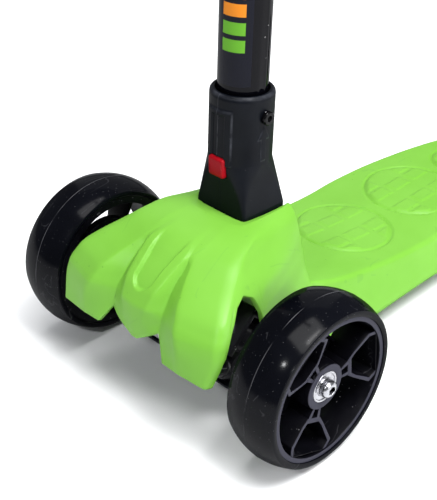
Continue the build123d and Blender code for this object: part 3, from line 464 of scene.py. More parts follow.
# The wall thins out at the rear corners of the opening, where three faces meet.
wall_share = bonnet_piece.vertex_groups.new(name="wall_share")
corner_y = place(0, 64.4, 0).y
for vertex in bonnet_piece.data.vertices:
    in_corner = vertex.co.y > corner_y and vertex.co.z > 0.1245 and abs(vertex.co.x) < 0.0285
    wall_share.add([vertex.index], 0.06 if in_corner else 1, "REPLACE")
thickness = bonnet_piece.modifiers.new("wall", "SOLIDIFY")
thickness.thickness = bonnet_wall
thickness.offset = -1
thickness.vertex_group = "wall_share"
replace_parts(bonnet_piece, "deck")

# Platform: the standing board, one moulding with the bonnet. A shallow tray upside down with
# sloping skirts, a raised tread pattern on top and ribs below.

platform_front, platform_tail, platform_low = 40.0, 348.0, 22.0
skirt_slope = 8.3 / 29
edge_rounding = 4.5
platform_halves = (
    (40, 49), (66, 50.5), (78, 54.5), (92, 56.8), (110, 57.2), (157, 57.4), (182, 57.7), (206, 58.4),
    (230, 57.5), (254, 55.3), (277, 51.7), (300, 47.2), (321, 41.9), (335, 37.6), (348, 33.4),
)
platform_tops = (
    (40, 76.5), (66, 70), (84, 65.8), (108, 60.8), (133, 56.6), (157, 53.4), (185, 51.2), (210, 51),
    (348, 51),
)


def along(table, y):
    """Smooth value of a table of places and sizes at one place."""
    for index in range(len(table) - 1):
        if y <= table[index + 1][0]:
            break
    share = (y - table[index][0]) / (table[index + 1][0] - table[index][0])
    slopes = []
    for end in (index, index + 1):
        low, high = max(end - 1, 0), min(end + 1, len(table) - 1)
        slopes.append((table[high][1] - table[low][1]) / (table[high][0] - table[low][0]))
    span = table[index + 1][0] - table[index][0]
    first, second = table[index][1], table[index + 1][1]
    return (
        first * (1 + 2 * share) * (1 - share) ** 2 + second * share * share * (3 - 2 * share)
        + slopes[0] * span * share * (1 - share) ** 2 - slopes[1] * span * share * share * (1 - share)
    )


def tread_relief(x, y):
    """Height of the tread: three ovals drawn as grooves, each with plain raised bars inside."""
    height = 0.0
    for middle, half_length, half_width in ((159, 38, 37.5), (246, 38, 39), (315, 22, 24)):
        reach = math.hypot((y - middle) / half_length, x / half_width)
        off_line = (reach - 1) * half_width
        height -= 1.1 * (1 - smooth_step(0.3, 1.5, abs(off_line)))
        height += 0.35 * (1 - smooth_step(-2.5, -1.2, off_line))
        for bar in (-24, 0, 24):
            across = 6 - abs(abs(x) - 13)
            if bar:
                across = max(across, 4.5 - abs(abs(x) - 27) if half_width > 30 else -9)
            lengthways = min(9.5 - abs(y - middle - bar), (1 - reach) * half_width - 3)
            height += 0.8 * smooth_step(-0.4, 0.8, min(across, lengthways))
    return height


platform = bmesh.new()
across_steps, along_steps = 180, 250
bmesh.ops.create_grid(platform, x_segments=across_steps, y_segments=along_steps, size=1)
for vertex in platform.verts:
    side = 1 if vertex.co.x >= 0 else -1
    run = abs(vertex.co.x)
    y = platform_front + (platform_tail - platform_front) * (vertex.co.y + 1) / 2
    top, half = along(platform_tops, y), along(platform_halves, y)
    half -= skirt_slope * (top - 51)
    if run < 0.78:
        x = run / 0.78 * (half - edge_rounding)
        z = top + tread_relief(x, y)
    elif run < 0.86:
        turned = (run - 0.78) / 0.08 * math.radians(74)
        x = half - edge_rounding + edge_rounding * math.sin(turned)
        z = top - edge_rounding + edge_rounding * math.cos(turned)
    else:
        start_x = half - edge_rounding + edge_rounding * math.sin(math.radians(74))
        start_z = top - edge_rounding + edge_rounding * math.cos(math.radians(74))
        z = start_z + (platform_low - start_z) * (run - 0.86) / 0.14
        x = start_x + (start_z - z) * skirt_slope
    vertex.co = place(side * x, y, z)
for end in (platform_front, platform_tail):
    end_y = place(0, end, 0).y
    rim = [edge for edge in platform.edges if all(abs(v.co.y - end_y) < 1e-6 for v in edge.verts)]
    bmesh.ops.contextual_create(platform, geom=rim)
tail_y = place(0, platform_tail, 0).y
tail_rim = [
    edge for edge in platform.edges
    if all(abs(v.co.y - tail_y) < 1e-6 and v.co.z > platform_low / 1000 + 1e-5 for v in edge.verts)
]
bmesh.ops.bevel(
    platform, geom=tail_rim, offset=0.0012, offset_type="OFFSET", segments=3, profile=0.5,
    affect="EDGES", clamp_overlap=True, material=-1,
)
bmesh.ops.recalc_face_normals(platform, faces=platform.faces)
platform_piece = add_piece("platform", platform, "deck", green_moulding, 50)
thickness = platform_piece.modifiers.new("wall", "SOLIDIFY")
thickness.thickness = 0.0035
thickness.offset = -1


def add_block(shaping, x0, x1, y0, y1, z0, z1):
    """A box between two corners, in millimetres like place()."""
    low, high = place(x0, y0, z0), place(x1, y1, z1)
    made = bmesh.ops.create_cube(shaping, size=1)["verts"]
    for vertex in made:
        vertex.co = Vector([low[i] + (vertex.co[i] + 0.5) * (high[i] - low[i]) for i in range(3)])
    return made


def add_prism(shaping, outline, x0, x1):
    """A plate with this outline behind and above the axle's foot, from x0 to x1."""
    base = [shaping.verts.new(place(x0, y, z)) for y, z in outline]
    face = shaping.faces.new(base)
    pushed = bmesh.ops.extrude_face_region(shaping, geom=[face])["geom"]
    for element in pushed:
        if isinstance(element, bmesh.types.BMVert):
            element.co.x = x1 / 1000
    return pushed


def soften(shaping, width, segments=2, angle=28):
    """Merges the mesh and rounds every edge that is sharper than the angle."""
    bmesh.ops.remove_doubles(shaping, verts=shaping.verts, dist=0.000005)
    bmesh.ops.recalc_face_normals(shaping, faces=shaping.faces)
    sharp_edges = [
        edge for edge in shaping.edges
        if len(edge.link_faces) == 2 and edge.calc_face_angle(0) > math.radians(angle)
    ]
    bmesh.ops.bevel(
        shaping, geom=sharp_edges, offset=width, offset_type="OFFSET", segments=segments, profile=0.5,
        affect="EDGES", clamp_overlap=True, material=-1,
    )


ribs = bmesh.new()
for rib_x in (-22, 19):
    add_block(ribs, rib_x, rib_x + 3, platform_front + 3, platform_tail - 3, platform_low + 3, 48)
for number in range(1, 6):
    rib_y = platform_front + 52 * number
    rib_top = along(platform_tops, rib_y) - 3
    rib_half = along(platform_halves, rib_y + 3) - skirt_slope * (rib_top - 51) - 3
    for vertex in add_block(ribs, -rib_half, rib_half, rib_y, rib_y + 3, platform_low + 3, rib_top):
        if vertex.co.z < 0.03:
            vertex.co.x *= 1 + skirt_slope * (rib_top - platform_low - 3) / rib_half
soften(ribs, 0.0006, 1)
add_piece("platform_ribs", ribs, "deck", green_moulding, 40)

# Keel and fork: thick-walled parts of the same moulding. The keel is the box in the nose that
# holds the steering and the fold hinge, and the fork's cheeks hold the rear axle.

keel = bmesh.new()
for wall_x in (-30, 26):
    add_prism(keel, ((17, 31), (-1.2, 49), (14, 88), (22, 98), (66, 98), (66, 31)), wall_x, wall_x + 4)
add_block(keel, -30, 30, 22, 66, 93, 98)
add_block(keel, -23.4, 23.4, 62.4, 65.9, 60, 98)
for cheek in (-1, 1):
    x0, x1 = sorted((cheek * 27, cheek * 33))
    outline = [(340, 26), (395, 26)]
    outline += [
        (405 + 14 * math.sin(math.radians(angle)), 40 - 14 * math.cos(math.radians(angle)))
        for angle in range(-30, 200, 10)
    ]
    outline += [(395, 54), (361, 60)]
    outline += [
        (354 + 7 * math.sin(math.radians(angle)), 60 + 7 * math.cos(math.radians(angle)))
        for angle in range(80, -100, -12)
    ]
    outline += [(347, 50), (340, 50)]
    add_prism(keel, outline, x0, x1)
soften(keel, 0.001, 2)
add_piece("keel_and_fork", keel, "deck", green_moulding, 40)

# Softened copies of the machined and moulded small parts: each keeps its size, and its edges
# are broken by a small rounding as tumbling, paint or the mould leaves them.


def softened_copy(node, finish, width=0.0004, angle=28, sharp=35):
    """A piece in a node's place with its edges rounded."""
    shaping = bmesh.new()
    shaping.from_mesh(nodes[node].data)
    bmesh.ops.remove_doubles(shaping, verts=shaping.verts, dist=0.000005)
    bmesh.ops.dissolve_limit(
        shaping, angle_limit=math.radians(0.5), verts=shaping.verts, edges=shaping.edges,
        delimit={"NORMAL"},
    )
    if width:
        sharp_edges = [
            edge for edge in shaping.edges
            if len(edge.link_faces) == 2 and edge.calc_face_angle(0) > math.radians(angle)
        ]
        bmesh.ops.bevel(
            shaping, geom=sharp_edges, offset=width, offset_type="OFFSET", segments=2, profile=0.5,
            affect="EDGES", clamp_overlap=True, material=-1,
        )
    shaping.normal_update()
    return add_piece(node + "_softened", shaping, node_body[node], finish, sharp)


def replace_softened(node, finish, width=0.0004, angle=28, sharp=35):
    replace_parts(softened_copy(node, finish, width, angle, sharp), node)


node_body = {
    member: body for body, members in frame["record"]["behaviour"]["bodies"].items() for member in members
}

zinc = make_finish(
    "zinc_plated_steel", (0.62, 0.63, 0.66), (0.5, 0.5, 0.52), 0.3, patch=(120, 2), dust_and_glint=(900, 0.05),
    dust_and_glint_colour=(0.25, 0.24, 0.22), streak=(200, 0.02), streak_colour=(0.35, 0.35, 0.36),
    grain=(2500, 0.000008), metallic=1,
)
black_steel = make_finish(
    "black_coated_steel", (0.008, 0.008, 0.01), (0.014, 0.014, 0.016), 0.34, patch=(90, 2),
    grain=(1800, 0.00002), metallic=0.2, gloss=0.5,
)
spring_steel = make_finish(
    "spring_steel", (0.35, 0.35, 0.37), (0.25, 0.24, 0.24), 0.35, patch=(300, 2), dust_and_glint=(1500, 0.1),
    dust_and_glint_colour=(0.2, 0.16, 0.1), streak=(400, 0.03), grain=(3000, 0.00001), metallic=1,
)
black_nylon = make_finish(
    "black_nylon", (0.0014, 0.002, 0.0036), (0.0032, 0.0042, 0.007), 0.5, patch=(45, 2.5), dust_and_glint=(520, 0.02),
    dust_and_glint_colour=(0.03, 0.03, 0.034), streak=(90, 0.003), streak_colour=(0.008, 0.008, 0.011),
    grain=(1500, 0.00006), gloss=0.19,
)

# Steering: a bent steel bracket bolted to the keel holds two leaning kingpins. A link joins the
# knuckles' arms below, and two coil springs on it pull the wheels straight again.

for node in ("steering_bracket", "steering_link", "left_knuckle", "right_knuckle", "fold_bracket"):
    replace_softened(node, black_steel, 0.0006)
for node in (
    "bracket_screws", "kingpins", "kingpin_nuts", "left_link_pin", "right_link_pin", "left_axle_sleeve",
    "right_axle_sleeve", "fold_screws", "fold_pin", "cover_screws", "clamp_bolt", "lever_pin",
    "rear_axle_nut", "rear_axle_spacers", "brake_pin", "brake_pad", "socket_nut",
):
    replace_softened(node, zinc, 0.00025)
for node in ("centring_springs", "brake_spring", "button_spring"):
    nodes[node].data.materials.clear()
    nodes[node].data.materials.append(spring_steel)
replace_softened("belly_cover", black_nylon, 0.0006)

# Front tyres: cast polyurethane, hard and smooth, with a round crown and the mould's parting
# line round its middle. Bonded to the rims.

# Its pale specks are partly dust and partly painted glints of light.
tyre_compound = make_finish(
    "cast_polyurethane", (0.0012, 0.0014, 0.0024), (0.0026, 0.0029, 0.0046), 0.32, patch=(22, 3),
    dust_and_glint=(1300, 0.06), dust_and_glint_colour=(0.16, 0.16, 0.17), streak=(60, 0.01), streak_colour=(0.045, 0.045, 0.05),
    grain=(700, 0.00003), gloss=0.16,
)
tyre_shader = tyre_compound.node_tree.nodes["Principled BSDF"]
tyre_shader.inputs["Coat Roughness"].default_value = 0.14
# The mould's parting line shows pale, in places only, round the middle of the front tyres.
tyre_tree = tyre_compound.node_tree
tyre_where = tyre_tree.nodes.new("ShaderNodeTexCoord").outputs["Object"]
tyre_split = tyre_tree.nodes.new("ShaderNodeSeparateXYZ")
tyre_tree.links.new(tyre_where, tyre_split.inputs[0])
off_line = maths(tyre_tree, "SUBTRACT", maths(tyre_tree, "ABSOLUTE", tyre_split.outputs["X"]), 0.1044)
on_line = maths(tyre_tree, "LESS_THAN", maths(tyre_tree, "ABSOLUTE", off_line), 0.00028)
line_breaks = use_group(tyre_tree, patches, tyre_where, Scale=55, Contrast=4)
broken_line = maths(tyre_tree, "MULTIPLY", on_line, line_breaks)
tyre_colour = tyre_shader.inputs["Base Color"].links[0].from_socket
lined_colour = mix_colour(tyre_tree, broken_line, tyre_colour, (0.06, 0.06, 0.066))
tyre_tree.links.new(lined_colour, tyre_shader.inputs["Base Color"])


def spin_round(shaping, profile, x, y, z, mirror=1, steps=128):
    """Spins a closed profile of (across, radius) in millimetres round an axis along X."""
    points = [shaping.verts.new(place(x + mirror * across, y, z + radius)) for across, radius in profile]
    edges = [shaping.edges.new((a, b)) for a, b in zip(points, points[1:] + points[:1])]
    bmesh.ops.spin(
        shaping, geom=points + edges, cent=place(x, y, z), axis=(1, 0, 0), angle=math.tau, steps=steps,
        use_merge=True,
    )


def rounded_profile(corners, radius, segments=3):
    """Rounds the corners of a closed profile."""
    result = []
    for index, corner in enumerate(corners):
        here = Vector(corner)
        before, after = Vector(corners[index - 1]), Vector(corners[(index + 1) % len(corners)])
        reach = min(radius, (before - here).length * 0.45, (after - here).length * 0.45)
        start = here + (before - here).normalized() * reach
        end = here + (after - here).normalized() * reach
        for step in range(segments + 1):
            t = step / segments
            result.append(tuple(start * (1 - t) ** 2 + here * 2 * t * (1 - t) + end * t * t))
    return result


def tyre_profile(radius, half, drop, inner, shoulder, line):
    """Crown from side to side with its parting line, then the two side walls and the bore."""
    profile = []
    crown_half = half - shoulder
    for step in range(-24, 25):
        across = crown_half * step / 24
        crown = radius - drop * abs(across / half) ** 2.04
        profile.append((across, crown + (line if step == 0 else 0)))
    edge = radius - drop
    side = [(half - 0.45, edge + 0.35), (half - 0.1, edge - 0.3), (half, edge - 0.9), (half, inner + 0.7),
            (half - 0.5, inner)]
    profile += side
    profile += [(-across, level) for across, level in reversed(side)]
    return profile


front_x = 104.4
front_profile = tyre_profile(59.87, 19.5, 4.9, 51.4, 1.4, 0.12)
for name, side in (("left", 1), ("right", -1)):
    tyre = bmesh.new()
    spin_round(tyre, front_profile, side * front_x, 0, 60, steps=160)
    bmesh.ops.recalc_face_normals(tyre, faces=tyre.faces)
    piece = add_piece(name + "_front_tread", tyre, name + "_front_wheel", tyre_compound, 40)
    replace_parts(piece, name + "_front_tyre")

# Front rims: moulded nylon. A hub with two bearing seats, a deep rim and three spokes, each of
# them a pair of ribs that opens into a six-sided frame.

rim_nylon = make_finish(
    "rim_nylon", (0.0015, 0.0015, 0.0025), (0.003, 0.003, 0.0045), 0.42, patch=(60, 2.5), dust_and_glint=(700, 0.06),
    dust_and_glint_colour=(0.22, 0.22, 0.23), streak=(110, 0.012), streak_colour=(0.09, 0.09, 0.1),
    grain=(1600, 0.00003), gloss=0.2,
)
# Painted light: faces that look outward along the axle, at the rim's outer face, are painted a lighter
# bluish grey as if lit, while the rest of the rim stays near black.
painted_light_face = rim_nylon.node_tree.nodes.new("ShaderNodeAttribute")
painted_light_face.attribute_name = "painted_light_outer_face"
rim_shader = rim_nylon.node_tree.nodes["Principled BSDF"]
rim_colour = rim_shader.inputs["Base Color"].links[0].from_socket
painted_light_colour = mix_colour(rim_nylon.node_tree, painted_light_face.outputs["Fac"], rim_colour, (0.027, 0.027, 0.04))
rim_nylon.node_tree.links.new(painted_light_colour, rim_shader.inputs["Base Color"])
hub_face, hub_back = 117.5, 91.3
spoke_frame = [(23, 16.5), (28.5, 22.5), (43.5, 29), (48.8, 23)]
spoke_cell = [(26.2, 13.5), (30, 18.8), (43, 24.8), (48.4, 18.8)]
spoke_legs = [(15.5, 15), (23.4, 15.5), (24.6, 7.5), (15.5, 7)]


def polar_spot(radius, angle, x):
    return place(x, radius * math.cos(math.radians(angle)), 60 + radius * math.sin(math.radians(angle)))


def add_loop(shaping, outline, x):
    loop = [shaping.verts.new(polar_spot(radius, angle, x)) for radius, angle in outline]
    return [shaping.edges.new((a, b)) for a, b in zip(loop, loop[1:] + loop[:1])]


for name, side in (("left", 1), ("right", -1)):
    rim = bmesh.new()
    for number in range(3):
        turned = (5 if side > 0 else 23) + 120 * number
        spoke = bmesh.new()
        outlines = []
        for half_outline in (spoke_frame, spoke_cell):
            both = half_outline + [(radius, -angle) for radius, angle in reversed(half_outline)]
            outlines.append([(radius, turned + angle) for radius, angle in both])
        loops = [add_loop(spoke, outline, 98) for outline in outlines]
        bmesh.ops.bridge_loops(spoke, edges=loops[0] + loops[1])
        for mirrored in (1, -1):
            leg = [(radius, turned + mirrored * angle) for radius, angle in spoke_legs]
            bmesh.ops.contextual_create(spoke, geom=add_loop(spoke, leg, 98))
        pushed = bmesh.ops.extrude_face_region(spoke, geom=spoke.faces[:])["geom"]
        for element in pushed:
            if isinstance(element, bmesh.types.BMVert):
                outward = (element.co - place(98, 0, 60)).length * 1000
                element.co.x = (hub_face - 0.3 + 4.6 * smooth_step(20, 46, outward)) / 1000
        soften(spoke, 0.0005, 2, 40)
        made = bpy.data.meshes.new("spoke")
        spoke.to_mesh(made)
        spoke.free()
        rim.from_mesh(made)
        bpy.data.meshes.remove(made)
    ring_outline = [
        (-18.6, 51.4), (-18.6, 45.4), (-16.8, 45.4), (-16, 47.2), (0, 46.6), (18.4, 47.9), (18.4, 51.4),
    ]
    ring = rounded_profile(ring_outline, 0.5)
    spin_round(rim, ring, 104.4, 0, 60, steps=144)
    middle = (hub_face + hub_back) / 2
    half_hub = (hub_face - hub_back) / 2
    hub = [(-half_hub, 16.5), (-half_hub, 11), (-half_hub + 7, 11), (-half_hub + 7, 9), (half_hub - 7, 9),
           (half_hub - 7, 11), (half_hub, 11), (half_hub, 16.2), (half_hub - 8, 17)]
    spin_round(rim, rounded_profile(hub, 0.6), middle, 0, 60, steps=96)
    flange = [(-2, 29), (-2, 16), (1.2, 16), (1.2, 28), (3.4, 28), (3.4, 29.6)]
    spin_round(rim, rounded_profile(flange, 0.4), 99, 0, 60, steps=120)
    if side < 0:
        bmesh.ops.scale(rim, vec=(-1, 1, 1), verts=rim.verts)
    bmesh.ops.remove_doubles(rim, verts=rim.verts, dist=0.000002)
    bmesh.ops.recalc_face_normals(rim, faces=rim.faces)
    piece = add_piece(name + "_spoked_rim", rim, name + "_front_wheel", rim_nylon, 35)
    # Painted light: how much of each face gets the lighter colour, by how far it faces outward and how near
    # it lies to the rim's outer face.
    painted_light_share = piece.data.attributes.new("painted_light_outer_face", "FLOAT", "FACE")
    painted_light_share.data.foreach_set("value", [
        smooth_step(0.6, 0.95, face.normal.x * side) * smooth_step(0.114, 0.1165, abs(face.center.x))
        for face in piece.data.polygons
    ])
    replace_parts(piece, name + "_front_rim")

# Front bearings and bolts: shielded steel ball bearings pressed into the hub, held by a button-
# headed bolt with a hexagonal socket.

bright_steel = make_finish(
    "bright_steel", (0.42, 0.42, 0.45), (0.32, 0.32, 0.34), 0.26, patch=(150, 2), dust_and_glint=(1200, 0.05),
    dust_and_glint_colour=(0.2, 0.18, 0.16), streak=(260, 0.02), grain=(3000, 0.000005), metallic=1,
)
bearing_shape = [
    (-3.5, 11), (-3.5, 9.7), (-2.6, 9.4), (-2.6, 6.8), (-3.5, 6.5), (-3.5, 4), (3.5, 4), (3.5, 6.5),
    (2.6, 6.8), (2.6, 9.4), (3.5, 9.7), (3.5, 11),
]
for name, side in (("left", 1), ("right", -1)):
    bearings = bmesh.new()
    for centre in (hub_face - 3.5, hub_back + 3.5):
        spin_round(bearings, rounded_profile(bearing_shape, 0.3), side * centre, 0, 60, steps=72)
    bmesh.ops.recalc_face_normals(bearings, faces=bearings.faces)
    piece = add_piece(name + "_hub_bearings", bearings, name + "_front_wheel", bright_steel, 35)
    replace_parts(piece, name + "_front_bearings")
    replace_softened(name + "_axle_bolt", bright_steel, 0.0003)

# Column socket: moulded glass-filled nylon, round above where the tube is screwed in and
# flared to a square foot that turns on the fold pin inside the bonnet.

column_lean = math.radians(3.57)


def on_column(x, y, z):
    """A place given along the column: y forward negative and z up from the column's foot."""
    return place(
        x, 41.9 + y * math.cos(column_lean) + z * math.sin(column_lean),
        130 + z * math.cos(column_lean) - y * math.sin(column_lean),
    )


def square_point(angle, half_x, half_y, corner):
    """Point of a rounded rectangle in a direction from its middle."""
    away = Vector((math.sin(angle), -math.cos(angle)))
    low, high = 0.0, 60.0
    for halving in range(26):
        middle = (low + high) / 2
        spot = away * middle
        over = Vector((max(abs(spot.x) - half_x + corner, 0), max(abs(spot.y) - half_y + corner, 0)))
        if over.length > corner or abs(spot.x) > half_x or abs(spot.y) > half_y:
            high = middle
        else:
            low = middle
    return away * low


socket_rows = (
    (-5.6, None), (-5.6, None), (-1.0, None), (1.8, None), (5, None), (9, None), (13, None), (17, None),
    (21, None), (25, None), (28, None), (31, None), (33.5, None), (36, 21.5), (42, 21.5), (48, 21.5),
    (54, 21.5), (60, 21.5), (66, 21.5), (71, 21.5), (76, 21.5), (79.6, 21.5), (81.2, 21.2), (82.2, 20.5),
    (82.9, 19.5), (83, 18.7), (82.8, 18.1), (82, 17.9), (79, 17.9), (78.5, 17.0), (44.2, 17.0),
)
socket = bmesh.new()
turns = 300
rows = len(socket_rows) - 1
fine_rows = rows * 6
flare_height, foot_corner = 35, 2.6
bmesh.ops.create_grid(socket, x_segments=turns, y_segments=fine_rows, size=1)
painted_highlight = socket.verts.layers.float.new("painted_highlight")


def flare_half(bottom, share, corner):
    """Half the side of the flare's square, whose corners stand out less and less."""
    reach = (bottom - foot_corner) * math.sqrt(2) + foot_corner
    reach += (21.5 - reach) * share
    return (reach - corner) / math.sqrt(2) + corner


for vertex in socket.verts:
    step = round((vertex.co.x + 1) / 2 * turns)
    row = round((vertex.co.y + 1) / 2 * fine_rows) / 6
    angle = math.tau * step / turns
    index = min(int(row), rows - 1)
    share = row - index
    level = socket_rows[index][0] * (1 - share) + socket_rows[index + 1][0] * share
    away = Vector((math.sin(angle), -math.cos(angle)))
    radii = [socket_rows[end][1] for end in (index, index + 1)]
    if index > 0 and radii[0] and radii[1]:
        spot = away * (radii[0] * (1 - share) + radii[1] * share)
    else:
        up = min(1, max(0, level / flare_height))
        corner = foot_corner + (21.5 - foot_corner) * up ** 2.2
        spot = square_point(angle, flare_half(22.6, up, corner), flare_half(20, up, corner), corner)
        spot += Vector((0, 2.6 * (1 - up)))
    if index == 0:
        spot = spot * (0.6 + 0.4 * share)
    elif index < rows - 6:
        # The raised frame over the latch, the mould's parting line and the arrow under the screw.
        around = math.degrees(angle if angle < math.pi else angle - math.tau)
        frame_edge = min((29.5 - abs(around)) * 0.375, level - 34, 73 - level)
        recess = min((15 - abs(around)) * 0.375, 69.5 - level)
        rise = smooth_step(0, 0.9, frame_edge) * (1 - 1.25 * smooth_step(0, 0.8, recess))
        if level < 82:
            rise += 0.22 * (1 - smooth_step(0.4, 1.3, abs(around + 1)))
        arrow_up = level - 38
        arrow_across = abs(around - 87) * 0.375
        head = min((25 - arrow_up) * 0.48 - arrow_across, arrow_up - 15)
        shaft = min(2 - arrow_across, arrow_up, 16 - arrow_up)
        spot += away * (rise + 0.75 * smooth_step(-0.2, 0.3, max(head, shaft)))
        # Painted highlights: the share of a lighter colour along the parting line, the frame's edges, the
        # arrow's edges and the socket's top rim, where these would catch the light.
        on_seam = (1 - smooth_step(0.3, 1.1, abs(around + 1))) * (level > 41)
        on_frame = 0.55 * (1 - smooth_step(0.2, 0.8, abs(frame_edge - 0.7)))
        on_arrow = 0.8 * (1 - smooth_step(0.05, 0.45, abs(max(head, shaft) - 0.1)))
        on_rim = 0.45 * smooth_step(80, 82, level)
        vertex[painted_highlight] = max(on_seam, on_frame, on_arrow, on_rim)
    vertex.co = on_column(spot.x, spot.y, level)
bmesh.ops.remove_doubles(socket, verts=socket.verts, dist=0.00001)
bmesh.ops.holes_fill(socket, edges=[edge for edge in socket.edges if edge.is_boundary], sides=0)

# The window that the button slides in is cut into the front wall, deep enough for its whole travel.
button_side, button_low, button_high = 6.9, 156.5, 170.6
button_clearance = 0.35
window_side = button_side + button_clearance
window_low, window_high = button_low - button_clearance, button_high + button_clearance
window_floor = 30.8
wall_back = 26.5


def front_faces(side, low, high):
    """Faces of the socket's front wall within a distance from the middle and between two heights."""
    chosen = []
    for face in socket.faces:
        middle = face.calc_center_median() * 1000
        if abs(middle.x) < side and low < middle.z < high and middle.y < place(0, wall_back, 0).y * 1000:
            chosen.append(face)
    return chosen


window_cuts = [(place(side * window_side, 0, 0), (1, 0, 0)) for side in (-1, 1)]
window_cuts += [(place(0, 0, z), (0, 0, 1)) for z in (window_low, window_high)]
for spot, across in window_cuts:
    around_window = front_faces(window_side + 3, window_low - 8, window_high + 8)
    window_edges = list(dict.fromkeys(edge for face in around_window for edge in face.edges))
    window_points = list(dict.fromkeys(vertex for face in around_window for vertex in face.verts))
    bmesh.ops.bisect_plane(
        socket, geom=window_points + window_edges + around_window, plane_co=spot, plane_no=across,
        dist=1e-7,
    )
bmesh.ops.delete(socket, geom=front_faces(window_side, window_low, window_high), context="FACES")
window_rim = [edge for edge in socket.edges if edge.is_boundary]
pushed = bmesh.ops.extrude_edge_only(socket, edges=window_rim)["geom"]
for element in pushed:
    if isinstance(element, bmesh.types.BMVert):
        element.co.y = place(0, window_floor, 0).y
bmesh.ops.holes_fill(socket, edges=[edge for edge in socket.edges if edge.is_boundary], sides=0)
foot_outline = [
    (32, 103.6), (28.2, 106), (28.2, 131), (62, 129), (62, 122), (66, 112), (64, 106), (58, 103.5),
]
foot = bmesh.new()
add_prism(foot, foot_outline, -17.8, 17.8)
soften(foot, 0.0012, 3)
foot_mesh = bpy.data.meshes.new("foot")
foot.to_mesh(foot_mesh)
foot.free()
socket.from_mesh(foot_mesh)
bpy.data.meshes.remove(foot_mesh)
bmesh.ops.recalc_face_normals(socket, faces=socket.faces)
socket_nylon = black_nylon.copy()
socket_nylon.name = "socket_nylon"
socket_tree = socket_nylon.node_tree
socket_shader = socket_tree.nodes["Principled BSDF"]
socket_where = socket_tree.nodes.new("ShaderNodeTexCoord").outputs["Object"]
# Painted highlights: a lighter bluish grey, broken into patches, on the edges that the mesh marks for it.
painted_highlight_share = socket_tree.nodes.new("ShaderNodeAttribute")
painted_highlight_share.attribute_name = "painted_highlight"
painted_highlight_mask = maths(
    socket_tree, "MULTIPLY", painted_highlight_share.outputs["Fac"],
    use_group(socket_tree, patches, socket_where, Scale=130, Contrast=3),
)
painted_highlight_colour = mix_colour(
    socket_tree, painted_highlight_mask, socket_shader.inputs["Base Color"].links[0].from_socket, (0.055, 0.058, 0.07)
)
socket_tree.links.new(painted_highlight_colour, socket_shader.inputs["Base Color"])
socket_piece = add_piece("column_socket", socket, "column", socket_nylon, 50)
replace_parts(socket_piece, "socket")
screw_black = make_finish(
    "black_oxide_screw", (0.001, 0.001, 0.0014), (0.003, 0.003, 0.0036), 0.2, patch=(160, 2),
    grain=(2200, 0.00001), gloss=0.3,
)
replace_softened("socket_screw", screw_black, 0.0004)
replace_softened("latch", zinc, 0.0003)

# Release button: moulded red nylon, which slides in the socket's window. A thumb pushes it in,
# against a spring, before the column folds.

button_red = make_finish(
    "red_nylon", (0.29, 0.004, 0.009), (0.22, 0.003, 0.007), 0.38, patch=(70, 2), dust_and_glint=(700, 0.015),
    dust_and_glint_colour=(0.4, 0.08, 0.08), streak=(120, 0.012), streak_colour=(0.5, 0.06, 0.06),
    grain=(1500, 0.00003), gloss=0.16,
)
button = bmesh.new()
button_front, button_back = 20.8, 27.5
add_block(button, -button_side, button_side, button_front, button_back, button_low, button_high)
soften(button, 0.0019, 5)
button_piece = add_piece("release_button_cap", button, "release", button_red, 50)
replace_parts(button_piece, "release_button")

# Lower tube: aluminium painted gloss black, screwed into the socket. Its front carries plain
# coloured bars under a band of clear film.

tube_paint, tube_tree, tube_shader, tube_where = new_material("gloss_black_paint")
tube_split = tube_tree.nodes.new("ShaderNodeSeparateXYZ")
tube_tree.links.new(tube_where, tube_split.inputs[0])
tube_shader.inputs["Roughness"].default_value = 0.12
tube_shader.inputs["Specular IOR Level"].default_value = 0
tube_shader.inputs["Coat Weight"].default_value = 0.2
tube_shader.inputs["Coat Roughness"].default_value = 0.08


def stripe_mask(tree, split, low, high, left, right):
    """A band between two heights and two places across, in metres, on the front of the tube."""
    masks = [
        maths(tree, "GREATER_THAN", split.outputs["Z"], low),
        maths(tree, "LESS_THAN", split.outputs["Z"], high),
        maths(tree, "GREATER_THAN", split.outputs["X"], left),
        maths(tree, "LESS_THAN", split.outputs["X"], right),
        maths(tree, "LESS_THAN", split.outputs["Y"], axle.y + 0.05),
    ]
    mask = masks[0]
    for other in masks[1:]:
        mask = maths(tree, "MULTIPLY", mask, other)
    return mask


tube_patches = use_group(tube_tree, patches, tube_where, Scale=40, Contrast=2)
tube_body = mix_colour(tube_tree, tube_patches, (0.001, 0.001, 0.002), (0.002, 0.002, 0.0035))
stripe_left, stripe_right, stripe_height = -0.003, 0.0118, 0.008
green_heights = (0.2414, 0.2524)
orange_heights = (0.264, 0.275, 0.286, 0.297)


def stripes(heights):
    """All the bars of one colour, each from its height upwards."""
    mask = None
    for low in heights:
        bar = stripe_mask(tube_tree, tube_split, low, low + stripe_height, stripe_left, stripe_right)
        mask = maths(tube_tree, "MAXIMUM", mask, bar) if mask else bar
    return mask


green_stripes = stripes(green_heights)
orange_stripes = stripes(orange_heights)
film = stripe_mask(tube_tree, tube_split, 0.219, 0.45, -0.009, 0.0146)
tube_body = mix_colour(tube_tree, film, tube_body, (0.0035, 0.004, 0.009))
tube_striped = mix_colour(tube_tree, green_stripes, tube_body, (0.1, 0.31, 0.02))
tube_striped = mix_colour(tube_tree, orange_stripes, tube_striped, (0.6, 0.19, 0.012))
tube_dots = use_group(tube_tree, specks, tube_where, Scale=600, Share=0.02)
dot_strength = maths(tube_tree, "MULTIPLY", tube_dots, 0.4)
tube_dusty = mix_colour(tube_tree, dot_strength, tube_striped, (0.4, 0.4, 0.4))
tube_tree.links.new(tube_dusty, tube_shader.inputs["Base Color"])
film_rough = maths(tube_tree, "MULTIPLY", film, 0.12)
tube_rough = maths(tube_tree, "ADD", film_rough, maths(tube_tree, "MULTIPLY", tube_patches, 0.08))
